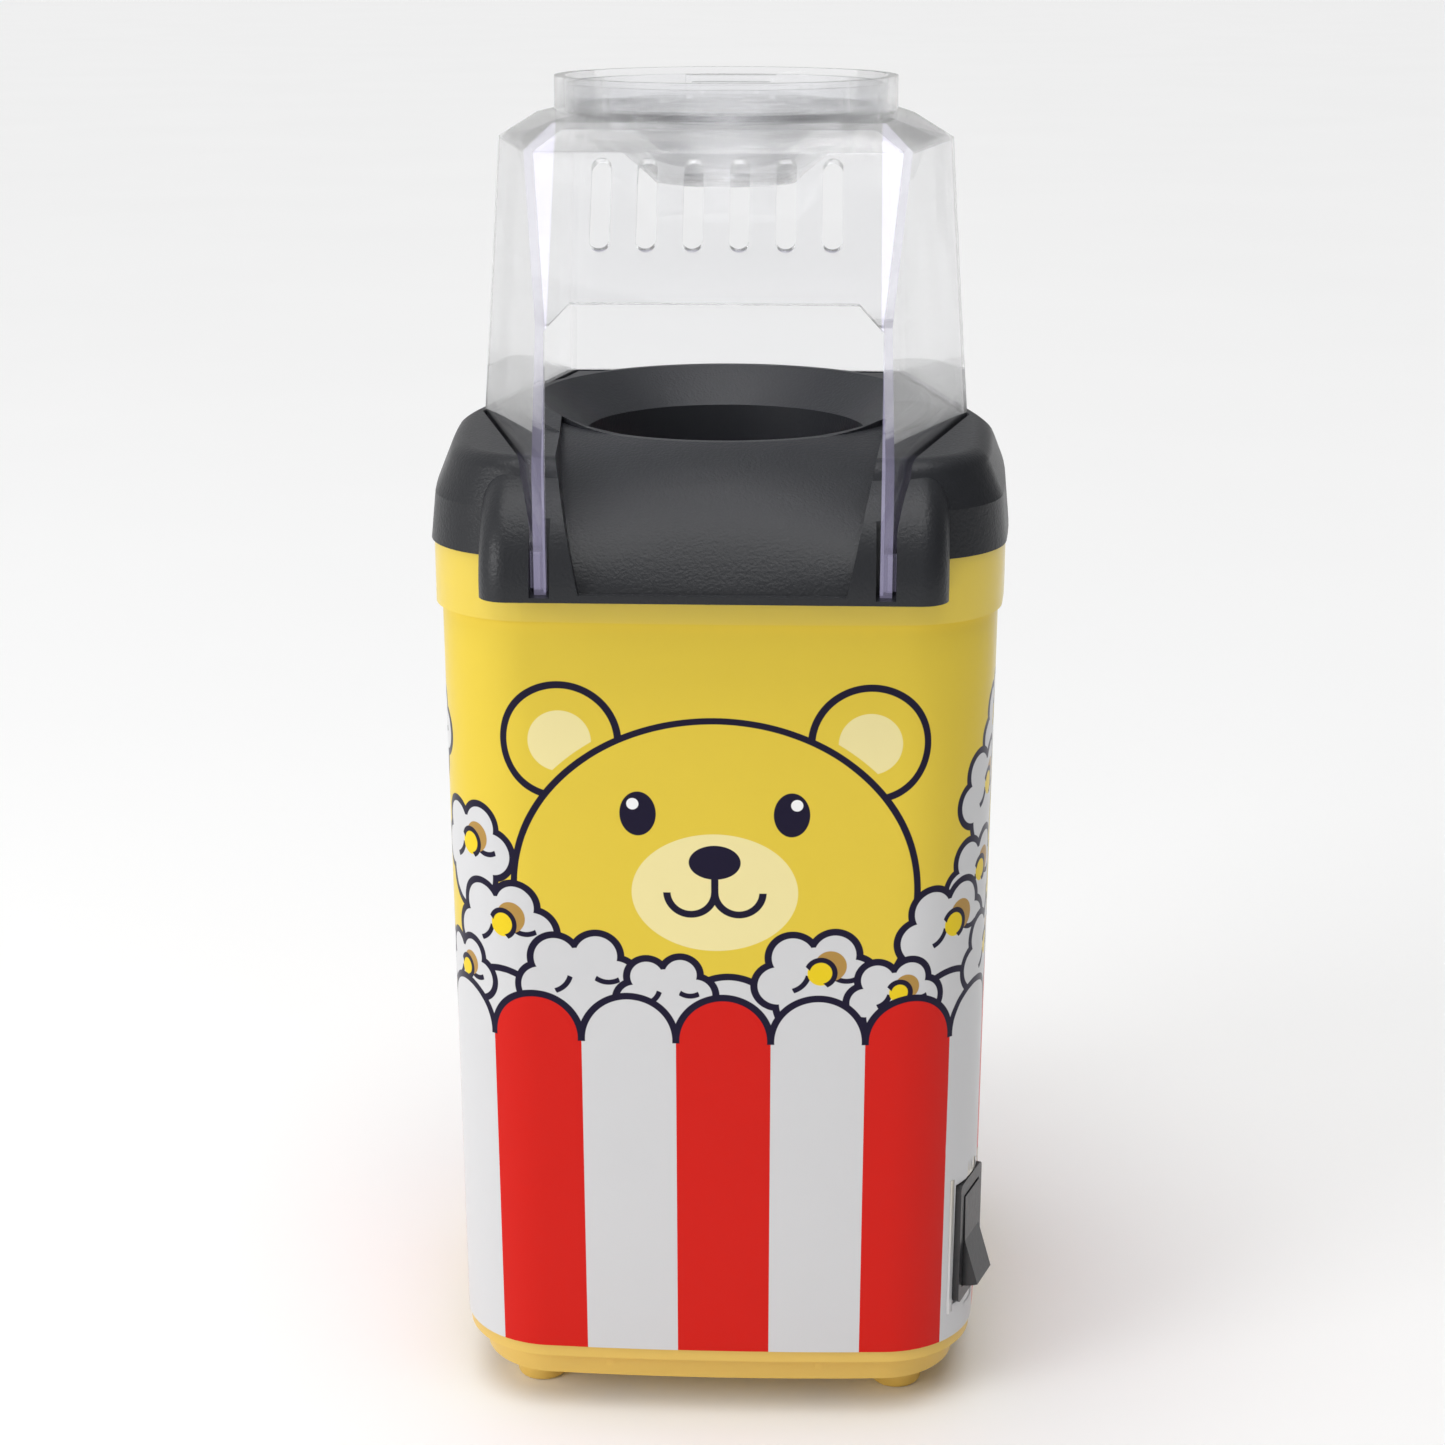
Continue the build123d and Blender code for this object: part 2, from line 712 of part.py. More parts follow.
with BuildPart() as top_collar:
    loft(
        sections=[
            rounded_plan(collar_z, skirt_half_width, skirt_half_depth, corner_radius),
            rounded_plan(
                collar_z + skirt_low_height,
                skirt_half_width - skirt_low_draft,
                skirt_half_depth - skirt_low_draft,
                corner_radius - skirt_low_draft / 2,
            ),
            rounded_plan(
                deck_z,
                skirt_half_width - skirt_draft,
                skirt_half_depth - skirt_draft,
                corner_radius - skirt_draft / 2,
            ),
        ],
        ruled=True,
    )
    fillet(top_collar.edges().group_by(Axis.Z)[-1], skirt_round)
    # Bevels that fall away outside the hood's rear side walls
    for side in (-1, 1):
        wall_run = Vector(side * (hood_middle_half - hood_rear_half), -hood_rear_back - hood_mid_forward, 0)
        level_out = Vector(0, 0, 1).cross(wall_run).normalized() * side
        bevel_line = Vector(side * hood_middle_half, axis_y - hood_mid_forward, deck_z)
        tilt_up = radians(rear_bevel_angle)
        bevel_out = level_out * sin(tilt_up) + Vector(0, 0, 1) * cos(tilt_up)
        bevel = Plane(origin=bevel_line + level_out * rear_bevel_gap, z_dir=bevel_out)
        split(bisect_by=bevel, keep=Keep.BOTTOM)
    add(spout_block.part)
    add(basin_rim.part)
    # Room for the body's rim behind the spout
    extrude(
        rounded_plan(
            spout_z - 1,
            rim_half_width + spout_gap,
            rim_half_depth + spout_gap,
            corner_radius + spout_gap,
        ),
        amount=collar_z - spout_z + 1,
        mode=Mode.SUBTRACT,
    )
    add(collar_cavity.part, mode=Mode.SUBTRACT)
    # Neck for the chamber and bosses for the collar screws
    with BuildSketch(level(neck_z)):
        Circle(neck_radius)
    extrude(amount=under_deck_z - neck_z)
    with BuildSketch(level(collar_z)):
        with Locations(*collar_screw_places):
            Circle(post_radius)
    extrude(amount=collar_boss_height)
    with BuildSketch(level(collar_z)):
        with Locations(*collar_screw_places):
            Circle(screw_radius)
    extrude(amount=collar_boss_height, mode=Mode.SUBTRACT)
    # Throat, basin, chute and hood groove
    add(basin_hollow.part, mode=Mode.SUBTRACT)
    add(chute_hollow.part, mode=Mode.SUBTRACT)
    add(hood_groove.part, mode=Mode.SUBTRACT)
    with BuildSketch(level(collar_z)):
        Circle(throat_radius)
    extrude(amount=collar_height, mode=Mode.SUBTRACT)
    with BuildSketch(level(collar_z)):
        Circle(neck_radius + 0.3)
    extrude(amount=neck_z - collar_z, mode=Mode.SUBTRACT)
    # Holes for the chamber screws
    with BuildSketch(level(neck_z)):
        with PolarLocations(neck_radius - 3.5, 4, start_angle=45):
            Circle(screw_radius)
    extrude(amount=neck_depth, mode=Mode.SUBTRACT)
finish(top_collar.part, "top_collar")

# ---- gasket and popping chamber ---------------------------------------------------------------

gasket_width = 5.5
with BuildPart() as chamber_gasket:
    with BuildSketch(level(neck_z)):
        Circle(throat_radius + gasket_width)
        Circle(throat_radius, mode=Mode.SUBTRACT)
    extrude(amount=-gasket_thickness)
finish(chamber_gasket.part, "chamber_gasket")

with BuildPart() as popping_chamber:
    with BuildSketch(section_plane) as chamber_side:
        with BuildLine():
            outer_radius = throat_radius + chamber_wall
            flange_top = flange_z + chamber_wall
            Polyline(
                (0, chamber_floor_z),
                (outer_radius - 5, chamber_floor_z),
                (outer_radius, chamber_floor_z + 5),
                (outer_radius, flange_z),
                (neck_radius, flange_z),
                (neck_radius, flange_top),
                (throat_radius, flange_top),
                (throat_radius, chamber_floor_z + 5 + chamber_wall / 2),
                (throat_radius - 5, chamber_floor_z + chamber_wall),
                (0, chamber_floor_z + chamber_wall),
                close=True,
            )
        make_face()
    revolve(axis=chamber_axis)
    with BuildSketch(level(flange_z)):
        with PolarLocations(neck_radius - 3.5, 4, start_angle=45):
            Circle(screw_radius + screw_passage)
    extrude(amount=chamber_wall, mode=Mode.SUBTRACT)
    # Louvres that swirl the hot air, leaning round the foot of the wall
    for index in range(louvre_count):
        turn = 360.0 / louvre_count * index
        louvre_plane = Plane(
            origin=(
                throat_radius * cos(radians(turn)),
                axis_y + throat_radius * sin(radians(turn)),
                chamber_floor_z + 7 + louvre_height / 2,
            ),
            x_dir=(-sin(radians(turn)), cos(radians(turn)), 0),
            z_dir=(cos(radians(turn)), sin(radians(turn)), 0),
        )
        with BuildSketch(louvre_plane):
            SlotOverall(louvre_height, louvre_width, rotation=75)
        extrude(amount=4, both=True, mode=Mode.SUBTRACT)
finish(popping_chamber.part, "popping_chamber")

screw_ring = (neck_radius - 3.5) / sqrt(2)
chamber_screw_places = [(x * screw_ring, y * screw_ring) for x in (-1, 1) for y in (-1, 1)]
chamber_screws = screws(chamber_screw_places, flange_z, 6.0)
finish(chamber_screws, "chamber_screws")

# ---- heat shield, heater and its safety parts ----------------------------------------------------

with BuildPart() as heat_shield:
    with BuildSketch(level(fan_case_top_z)):
        Circle(shield_radius)
        Circle(shield_radius - shield_wall, mode=Mode.SUBTRACT)
    extrude(amount=flange_z - fan_case_top_z)
finish(heat_shield.part, "heat_shield")

with BuildPart() as heater_former:
    with BuildSketch(level(fan_case_top_z)):
        Circle(former_radius)
        Circle(former_radius - 1, mode=Mode.SUBTRACT)
    extrude(amount=former_height)
    with BuildSketch(level(fan_case_top_z)):
        with PolarLocations((former_radius + shield_radius - shield_wall) / 2 - 0.6, 3):
            Rectangle(shield_radius - shield_wall - former_radius, 8)
    extrude(amount=1.2)
finish(heater_former.part, "heater_former")

with BuildPart() as heater_coil:
    ring_radius = former_radius + coil_wire_radius + 0.2
    with BuildSketch(section_plane):
        for index in range(coil_rings):
            with Locations((ring_radius, fan_case_top_z + 6 + coil_pitch * index)):
                Circle(coil_wire_radius)
    revolve(axis=chamber_axis, revolution_arc=345)
finish(heater_coil.part, "heater_coil")

with BuildPart() as thermostat:
    with BuildSketch(level(chamber_floor_z)):
        Circle(thermostat_radius)
    extrude(amount=-thermostat_height)
    with BuildSketch(level(chamber_floor_z - thermostat_height)):
        with Locations((-4, 0), (4, 0)):
            Rectangle(0.8, 5)
    extrude(amount=-6)
    with BuildSketch(level(chamber_floor_z)):
        SlotOverall(2 * thermostat_radius + 10, 7)
    extrude(amount=-1)
finish(thermostat.part, "thermostat")

with BuildPart() as thermal_fuse:
    fuse_y = axis_y + thermostat_radius + fuse_radius + 1
    fuse_centre = (-fuse_length / 2, fuse_y, chamber_floor_z - fuse_radius)
    with BuildSketch(Plane(origin=fuse_centre, z_dir=(1, 0, 0))):
        Circle(fuse_radius)
    extrude(amount=fuse_length)
finish(thermal_fuse.part, "thermal_fuse")

# ---- fan case -------------------------------------------------------------------------------------

with BuildPart() as fan_case:
    arm_length = case_screw_circle - fan_case_radius + 4
    with BuildSketch(level(fan_case_z)):
        Circle(fan_case_radius)
        with PolarLocations(case_screw_circle - arm_length / 2, 4, start_angle=case_post_angle):
            Rectangle(arm_length, 2 * post_radius + 2)
        with Locations(*case_posts):
            Circle(post_radius + 1)
    extrude(amount=fan_case_wall)
    with BuildSketch(level(fan_case_z)):
        Circle(fan_case_radius)
    extrude(amount=fan_case_height)
    with BuildSketch(level(fan_case_z + fan_case_wall)):
        Circle(fan_case_radius - fan_case_wall)
    extrude(amount=fan_case_height - 2 * fan_case_wall, mode=Mode.SUBTRACT)
    with BuildSketch(level(fan_case_z + fan_case_wall)):
        Circle(fan_case_opening)
    extrude(amount=fan_case_height, mode=Mode.SUBTRACT)
    # Centre hole, air inlets and screw holes through the floor
    with BuildSketch(level(fan_case_z)):
        Circle(hub_radius)
        with PolarLocations(28, 8, start_angle=22.5):
            SlotOverall(12, 8)
        with Locations(*case_posts):
            Circle(screw_radius + screw_passage)
        with Locations((-12, 0), (12, 0)):
            Circle(screw_radius + screw_passage)
    extrude(amount=fan_case_wall, mode=Mode.SUBTRACT)
finish(fan_case.part, "fan_case")

case_screws = screws(case_posts, fan_case_z + fan_case_wall, 9.0, head_below=False)
finish(case_screws, "case_screws")

# ---- motor, shaft and impeller --------------------------------------------------------------------

motor_screw_places = [(-12, 0), (12, 0)]
with BuildPart() as motor_bracket:
    with BuildSketch(level(motor_top_z)):
        Circle(motor_radius + 1.5)
        Circle(hub_radius - 2, mode=Mode.SUBTRACT)
        with Locations(*motor_screw_places):
            Circle(screw_radius + screw_passage, mode=Mode.SUBTRACT)
    extrude(amount=bracket_thickness)
finish(motor_bracket.part, "motor_bracket")

with BuildPart() as motor_can:
    with BuildSketch(level(motor_z)):
        Circle(motor_radius)
    extrude(amount=motor_height)
    fillet(motor_can.edges().group_by(Axis.Z)[-1], 1.5)
    with BuildSketch(level(motor_z + 6)):
        Circle(shaft_radius + shaft_clearance)
    extrude(amount=motor_height, mode=Mode.SUBTRACT)
    with BuildSketch(level(motor_top_z - 5)):
        with Locations(*motor_screw_places):
            Circle(screw_radius)
    extrude(amount=5, mode=Mode.SUBTRACT)
finish(motor_can.part, "motor_can")

with BuildPart() as motor_end_cap:
    with BuildSketch(level(motor_z)):
        Circle(motor_radius - 1)
    extrude(amount=-end_cap_height)
    with BuildSketch(level(motor_z - end_cap_height)):
        with Locations((-9, 0), (9, 0)):
            Rectangle(3, 0.8)
    extrude(amount=-5)
finish(motor_end_cap.part, "motor_end_cap")

motor_screws = screws(motor_screw_places, fan_case_z + fan_case_wall, 7.0, head_below=False)
finish(motor_screws, "motor_screws")

impeller_top_z = impeller_z + impeller_height
finish(round_bar(shaft_radius, motor_z + 8, impeller_top_z + 4), "motor_shaft")

with BuildPart() as impeller:
    with BuildSketch(level(impeller_z)):
        Circle(impeller_radius)
    extrude(amount=1.4)
    with BuildSketch(level(impeller_z)):
        Circle(hub_radius)
    extrude(amount=impeller_height)
    with BuildSketch(level(impeller_z)):
        with PolarLocations((impeller_radius + hub_radius) / 2 - 0.8, blade_count):
            Rectangle(impeller_radius - hub_radius, blade_thickness, rotation=12)
    extrude(amount=impeller_height - 1)
    with BuildSketch(level(impeller_z)):
        Circle(shaft_radius)
    extrude(amount=impeller_height, mode=Mode.SUBTRACT)
finish(impeller.part, "impeller")

with BuildPart() as impeller_nut:
    with BuildSketch(level(impeller_top_z)):
        RegularPolygon(3.4, 6)
        Circle(shaft_radius, mode=Mode.SUBTRACT)
    extrude(amount=2.6)
finish(impeller_nut.part, "impeller_nut")

# ---- rectifier board ---------------------------------------------------------------------------------

with BuildPart() as rectifier_board:
    with BuildSketch(level(board_z)):
        with Locations((0, board_setback)):
            Rectangle(board_length, board_width)
        with Locations(*board_posts):
            Circle(screw_radius + screw_passage, mode=Mode.SUBTRACT)
    extrude(amount=board_thickness)
finish(rectifier_board.part, "rectifier_board")

with BuildPart() as rectifier_diodes:
    diode_radius = 1.6
    for index in range(4):
        diode_x = -5.7 + 3.8 * index
        diode_start = (diode_x, axis_y + board_setback - 4, board_z + board_thickness + diode_radius)
        with BuildSketch(Plane(origin=diode_start, z_dir=(0, 1, 0))):
            Circle(diode_radius)
        extrude(amount=8)
finish(rectifier_diodes.part, "rectifier_diodes")

board_screws = screws(board_posts, board_z + board_thickness, 7.0, head_below=False)
finish(board_screws, "board_screws")

# ---- power switch ---------------------------------------------------------------------------------------

cavity_length = 2 * rocker_radius + 2 * rocker_gap
cavity_width = rocker_width + 2 * rocker_gap
with BuildPart() as switch_housing:
    with BuildSketch(switch_plane):
        RectangleRounded(bezel_height, bezel_width, 1.5)
    extrude(amount=bezel_thickness)
    with BuildSketch(switch_plane):
        Rectangle(switch_case_height, switch_case_width)
    extrude(amount=-switch_case_depth)
    with BuildSketch(switch_plane.offset(-8)):
        Rectangle(cavity_length, cavity_width)
    extrude(amount=20, mode=Mode.SUBTRACT)
    with BuildSketch(pin_plane):
        Circle(1.2 + shaft_clearance)
    extrude(amount=cavity_width / 2 + 0.6, both=True, mode=Mode.SUBTRACT)
    # Terminals at the back
    with BuildSketch(switch_plane.offset(-switch_case_depth)):
        with Locations((-7, 0), (7, 0)):
            Rectangle(0.8, 3.2)
    extrude(amount=-6)
finish(switch_housing.part, "switch_housing")

with BuildPart() as switch_rocker:
    with BuildSketch(rocker_plane):
        foot_in = -2.5
        foot_out = sqrt(rocker_radius ** 2 - foot_in ** 2)
        cap_mid = sqrt(rocker_radius ** 2 - 1)
        with BuildLine():
            Polyline(
                (rocker_lift, -rocker_half_length),
                (rocker_dip, 0),
                (rocker_lift, rocker_half_length),
            )
            ThreePointArc(
                (rocker_lift, rocker_half_length), (1, cap_mid), (foot_in, foot_out)
            )
            Polyline((foot_in, foot_out), (-4.5, 6), (-4.5, -6), (foot_in, -foot_out))
            ThreePointArc(
                (foot_in, -foot_out), (1, -cap_mid), (rocker_lift, -rocker_half_length)
            )
        make_face()
    extrude(amount=rocker_width / 2, both=True)
    with BuildSketch(pin_plane):
        Circle(1.2)
    extrude(amount=cavity_width / 2 + 0.5, both=True)
finish(switch_rocker.part, "switch_rocker")

# ---- hood ---------------------------------------------------------------------------------------------------

ring_bore = hood_ring_radius - hood_wall
cup_hole_radius = ring_bore - cup_ledge
with BuildPart() as hood:
    outer_levels = [leg_z, deck_z, hood_fold_z, hood_shoulder_z, hood_top_z]
    loft(sections=[hood_outline(z, 0) for z in outer_levels], ruled=True)
    inner_levels = [
        leg_z,
        deck_z,
        hood_fold_z,
        hood_shoulder_z - hood_wall / 3,
        hood_top_z - hood_wall,
    ]
    loft(sections=[hood_outline(z, hood_wall) for z in inner_levels], ruled=True, mode=Mode.SUBTRACT)
    # Ring that holds the measuring cup
    with BuildSketch(level(hood_top_z)):
        Circle(hood_ring_radius)
    extrude(amount=hood_ring_height)
    with BuildSketch(level(hood_top_z)):
        Circle(ring_bore)
    extrude(amount=hood_ring_height, mode=Mode.SUBTRACT)
    with BuildSketch(level(hood_top_z - hood_wall)):
        Circle(cup_hole_radius)
    extrude(amount=hood_wall, mode=Mode.SUBTRACT)
    # Front mouth between the side walls, with cut corners at its top
    mouth_half = 36.0 - hood_wall + 0.6
    with BuildSketch(Plane.XZ.offset(-axis_y + 30)):
        with BuildLine():
            Polyline(
                (-mouth_half, leg_z - 1),
                (-mouth_half, hood_sill_z - hood_corner_cut),
                (-mouth_half + hood_corner_cut, hood_sill_z),
                (mouth_half - hood_corner_cut, hood_sill_z),
                (mouth_half, hood_sill_z - hood_corner_cut),
                (mouth_half, leg_z - 1),
                close=True,
            )
        make_face()
    extrude(amount=60, mode=Mode.SUBTRACT)
    # The wall behind the legs stops in the shallow groove
    with BuildSketch(side_plane):
        with BuildLine():
            Polyline(
                (-80, leg_z - 5),
                (-80, hood_seat_z),
                (leg_back + 0.4, hood_seat_z),
                (leg_foot_back - 7.6, leg_step_z),
                (leg_foot_back, leg_step_z),
                (leg_foot_back, leg_z),
                (spout_reach + 10, leg_z),
                (spout_reach + 10, leg_z - 5),
                close=True,
            )
        make_face()
    extrude(amount=80, both=True, mode=Mode.SUBTRACT)
    # Steam slots in the sloping front panel
    panel_rise = hood_fold_z - hood_shoulder_z
    panel_run = 67.0 - 46.0
    slot_share = 0.3
    slot_forward = 46.0 + panel_run * slot_share
    slot_z = hood_shoulder_z + panel_rise * slot_share
    panel_normal = Vector(0, panel_rise, panel_run)
    slot_plane = Plane(
        origin=(0, axis_y - slot_forward, slot_z), x_dir=(1, 0, 0), z_dir=panel_normal
    )
    with BuildSketch(slot_plane):
        with GridLocations(slot_pitch, 1, slot_count, 1):
            SlotOverall(slot_length, slot_width, rotation=90)
    extrude(amount=6, both=True, mode=Mode.SUBTRACT)
finish(hood.part, "hood")

# ---- measuring cup --------------------------------------------------------------------------------------------

cup_radius = ring_bore - cup_fit
bowl_radius = cup_hole_radius - cup_fit
cup_floor_z = hood_top_z - cup_depth
cup_top_z = hood_top_z + cup_rim_height
with BuildPart() as measuring_cup:
    with BuildSketch(section_plane):
        with BuildLine():
            Polyline(
                (0, cup_floor_z),
                (cup_floor_radius - 1.5, cup_floor_z),
                (cup_floor_radius, cup_floor_z + 1.5),
                (bowl_radius, hood_top_z - 1),
                (bowl_radius, hood_top_z),
                (cup_radius, hood_top_z),
                (cup_radius, cup_top_z),
                (cup_radius - cup_wall, cup_top_z),
                (cup_radius - cup_wall, hood_top_z + cup_wall),
                (bowl_radius - cup_wall, hood_top_z + cup_wall / 2),
                (cup_floor_radius - 1, cup_floor_z + 1.5 + cup_wall),
                (cup_floor_radius - 2.5, cup_floor_z + cup_wall),
                (0, cup_floor_z + cup_wall),
                close=True,
            )
        make_face()
    revolve(axis=chamber_axis)
    # Grip at the back: a bridge on two cheeks
    grip_back = cup_radius - cup_wall / 2
    grip_middle = grip_back - grip_reach / 2
    with BuildSketch(level(cup_top_z - cup_wall)):
        with Locations((0, grip_middle - 0.6)):
            Rectangle(grip_width, grip_reach)
    extrude(amount=cup_wall)
    with BuildSketch(level(hood_top_z + cup_wall / 2)):
        with Locations((-grip_width / 2 + 0.7, grip_middle - 0.6), (grip_width / 2 - 0.7, grip_middle - 0.6)):
            Rectangle(1.4, grip_reach)
    extrude(amount=cup_top_z - hood_top_z - cup_wall)
finish(measuring_cup.part, "measuring_cup")
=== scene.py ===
"""Looks for a small hot air popcorn maker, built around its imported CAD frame."""

import json
import math

import bmesh
import bpy
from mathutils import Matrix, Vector


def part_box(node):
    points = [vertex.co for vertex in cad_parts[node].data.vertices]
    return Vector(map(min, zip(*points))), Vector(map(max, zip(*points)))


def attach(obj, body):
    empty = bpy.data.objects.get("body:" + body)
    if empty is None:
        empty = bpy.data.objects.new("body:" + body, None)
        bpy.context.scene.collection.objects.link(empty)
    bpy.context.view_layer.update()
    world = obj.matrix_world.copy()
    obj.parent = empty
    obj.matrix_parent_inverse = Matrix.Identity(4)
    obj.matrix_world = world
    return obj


bl_info = {
    "name": "Popcorn Maker",
    "version": (1, 0, 0),
    "blender": (4, 5, 0),
    "location": "View3D > Sidebar > Popcorn Maker",
    "description": "Builds the looks of a small hot air popcorn maker around its CAD frame",
    "category": "Object",
}

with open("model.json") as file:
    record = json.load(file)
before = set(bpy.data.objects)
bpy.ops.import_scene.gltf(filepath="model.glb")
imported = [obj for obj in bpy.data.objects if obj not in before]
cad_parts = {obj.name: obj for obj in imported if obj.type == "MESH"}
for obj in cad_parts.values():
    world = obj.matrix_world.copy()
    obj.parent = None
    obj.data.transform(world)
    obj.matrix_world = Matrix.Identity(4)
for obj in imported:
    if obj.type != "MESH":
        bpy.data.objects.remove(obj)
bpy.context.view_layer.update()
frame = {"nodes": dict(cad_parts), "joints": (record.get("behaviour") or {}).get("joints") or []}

MM = 0.001
PRINT_MAP = "OFBake"
CORNER = 22.0 * MM
RIM_BAND = 14.0 * MM

# Printed film: how far it stands off the shell, and which shell faces it takes
FILM_LIFT = 0.12 * MM
OUTWARD = 0.55
UPRIGHT = 0.3
POCKET_MARGIN = 3 * MM
POCKET_LIKENESS = 0.12

# Hood: where a painted glow is laid along its front edges
FRONT_BACKSET = 20 * MM
LEG_TOP = 24 * MM
SILL_RISE = 27 * MM
SILL_BAND = 12 * MM
RAIL_HALF_GAP = 33.8 * MM

# Stage
FLOOR_HALF = 24.0
KEY_PLACE = (-1.05, -0.8, 0.6)
KEY_SIZE = 0.7
SUN_SPREAD = math.radians(50.0)
SUN_LEAN = math.radians(8.0)
ROOM_DIM = 0.6
ROOM_DIM_RIGHT = 0.33
CAMERA_NUDGE = math.radians(0.08)

# Places read from the frame
SHELL_LOW, SHELL_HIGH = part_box("body_shell")
COLLAR_LOW, COLLAR_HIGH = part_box("top_collar")
CHAMBER_LOW, CHAMBER_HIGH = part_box("popping_chamber")
POCKET_LOW, POCKET_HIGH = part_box("switch_housing")
JOINTS = {joint["name"]: joint for joint in frame["joints"]}
AXIS_Y = (CHAMBER_LOW.y + CHAMBER_HIGH.y) / 2


# ---- settings -----------------------------------------------------------------


class PrintSettings(bpy.types.PropertyGroup):
    """Colours and sizes of the printed popcorn box pattern."""

    field: bpy.props.FloatVectorProperty(
        name="Field", description="Ground colour of the print", subtype="COLOR",
        size=4, default=(0.76, 0.565, 0.052, 1.0), min=0.0, max=1.0,
    )
    red: bpy.props.FloatVectorProperty(
        name="Red", description="Red of the stripes", subtype="COLOR",
        size=4, default=(0.63, 0.006, 0.001, 1.0), min=0.0, max=1.0,
    )
    white: bpy.props.FloatVectorProperty(
        name="White", description="White of the stripes and the popcorn", subtype="COLOR",
        size=4, default=(0.64, 0.64, 0.65, 1.0), min=0.0, max=1.0,
    )
    ink: bpy.props.FloatVectorProperty(
        name="Ink", description="Dark blue of the drawn lines", subtype="COLOR",
        size=4, default=(0.004, 0.001, 0.02, 1.0), min=0.0, max=1.0,
    )
    kernel: bpy.props.FloatVectorProperty(
        name="Kernel", description="Yellow of the kernels", subtype="COLOR",
        size=4, default=(0.82, 0.6, 0.01, 1.0), min=0.0, max=1.0,
    )
    husk: bpy.props.FloatVectorProperty(
        name="Husk", description="Tan of the shaded husks", subtype="COLOR",
        size=4, default=(0.43, 0.25, 0.06, 1.0), min=0.0, max=1.0,
    )
    stripes: bpy.props.IntProperty(
        name="Stripes", description="Number of stripes round the body", default=22, min=4,
    )
    stripe_top: bpy.props.FloatProperty(
        name="Stripe Top", description="Height where the scallops begin, in millimetres",
        default=94.9, min=20.0,
    )
    stripe_shift: bpy.props.FloatProperty(
        name="Stripe Shift", description="How far the stripes stand to the right, in millimetres",
        default=1.8,
    )
    line: bpy.props.FloatProperty(
        name="Line", description="Width of the drawn lines, in millimetres", default=1.6, min=0.2,
    )


class PlasticSettings(bpy.types.PropertyGroup):
    """Colours of the moulded plastics."""

    collar: bpy.props.FloatVectorProperty(
        name="Collar", description="Black of the top collar", subtype="COLOR",
        size=4, default=(0.018, 0.019, 0.022, 1.0), min=0.0, max=1.0,
    )
    base: bpy.props.FloatVectorProperty(
        name="Base", description="Yellow of the base and feet", subtype="COLOR",
        size=4, default=(0.76, 0.5, 0.1, 1.0), min=0.0, max=1.0,
    )
    clear: bpy.props.FloatVectorProperty(
        name="Clear", description="Tint of the clear hood and cup", subtype="COLOR",
        size=4, default=(0.94, 0.945, 0.955, 1.0), min=0.0, max=1.0,
    )
    clear_ior: bpy.props.FloatProperty(
        name="Clear IOR", description="Refraction of the clear plastic", default=1.3,
        min=1.0, max=2.0,
    )
    clear_body: bpy.props.FloatProperty(
        name="Clear Body", description="How much of the clear plastic shows", default=0.72,
        min=0.0, max=1.0,
    )
    # Strength of a painted glow along the hood's front edges, an emission standing in for light there
    painted_edge_glow: bpy.props.FloatProperty(
        name="Edge Glow", description="Light gathered in the hood's front edges", default=0.3,
        min=0.0,
    )


class StageSettings(bpy.types.PropertyGroup):
    """Camera and light."""

    turn: bpy.props.FloatProperty(
        name="Turn", description="How far the camera stands to the right of the front",
        subtype="ANGLE", default=math.radians(2.2),
    )
    tip: bpy.props.FloatProperty(
        name="Tip", description="How far the camera looks down", subtype="ANGLE",
        default=math.radians(17.0),
    )
    distance: bpy.props.FloatProperty(
        name="Distance", description="Level distance from the chamber's axis",
        unit="LENGTH", default=0.584, min=0.1,
    )
    height: bpy.props.FloatProperty(
        name="Height", description="Height of the camera", unit="LENGTH", default=0.328,
    )
    lens: bpy.props.FloatProperty(
        name="Lens", description="Focal length in millimetres", default=64.0, min=10.0,
    )
    key_power: bpy.props.FloatProperty(
        name="Key", description="Power of the key light", unit="POWER", default=6.5, min=0.0,
    )
    sun_power: bpy.props.FloatProperty(
        name="Overhead", description="Strength of the wide overhead light", default=1.75, min=0.0,
    )


# ---- node helpers ----------------------------------------------------------------


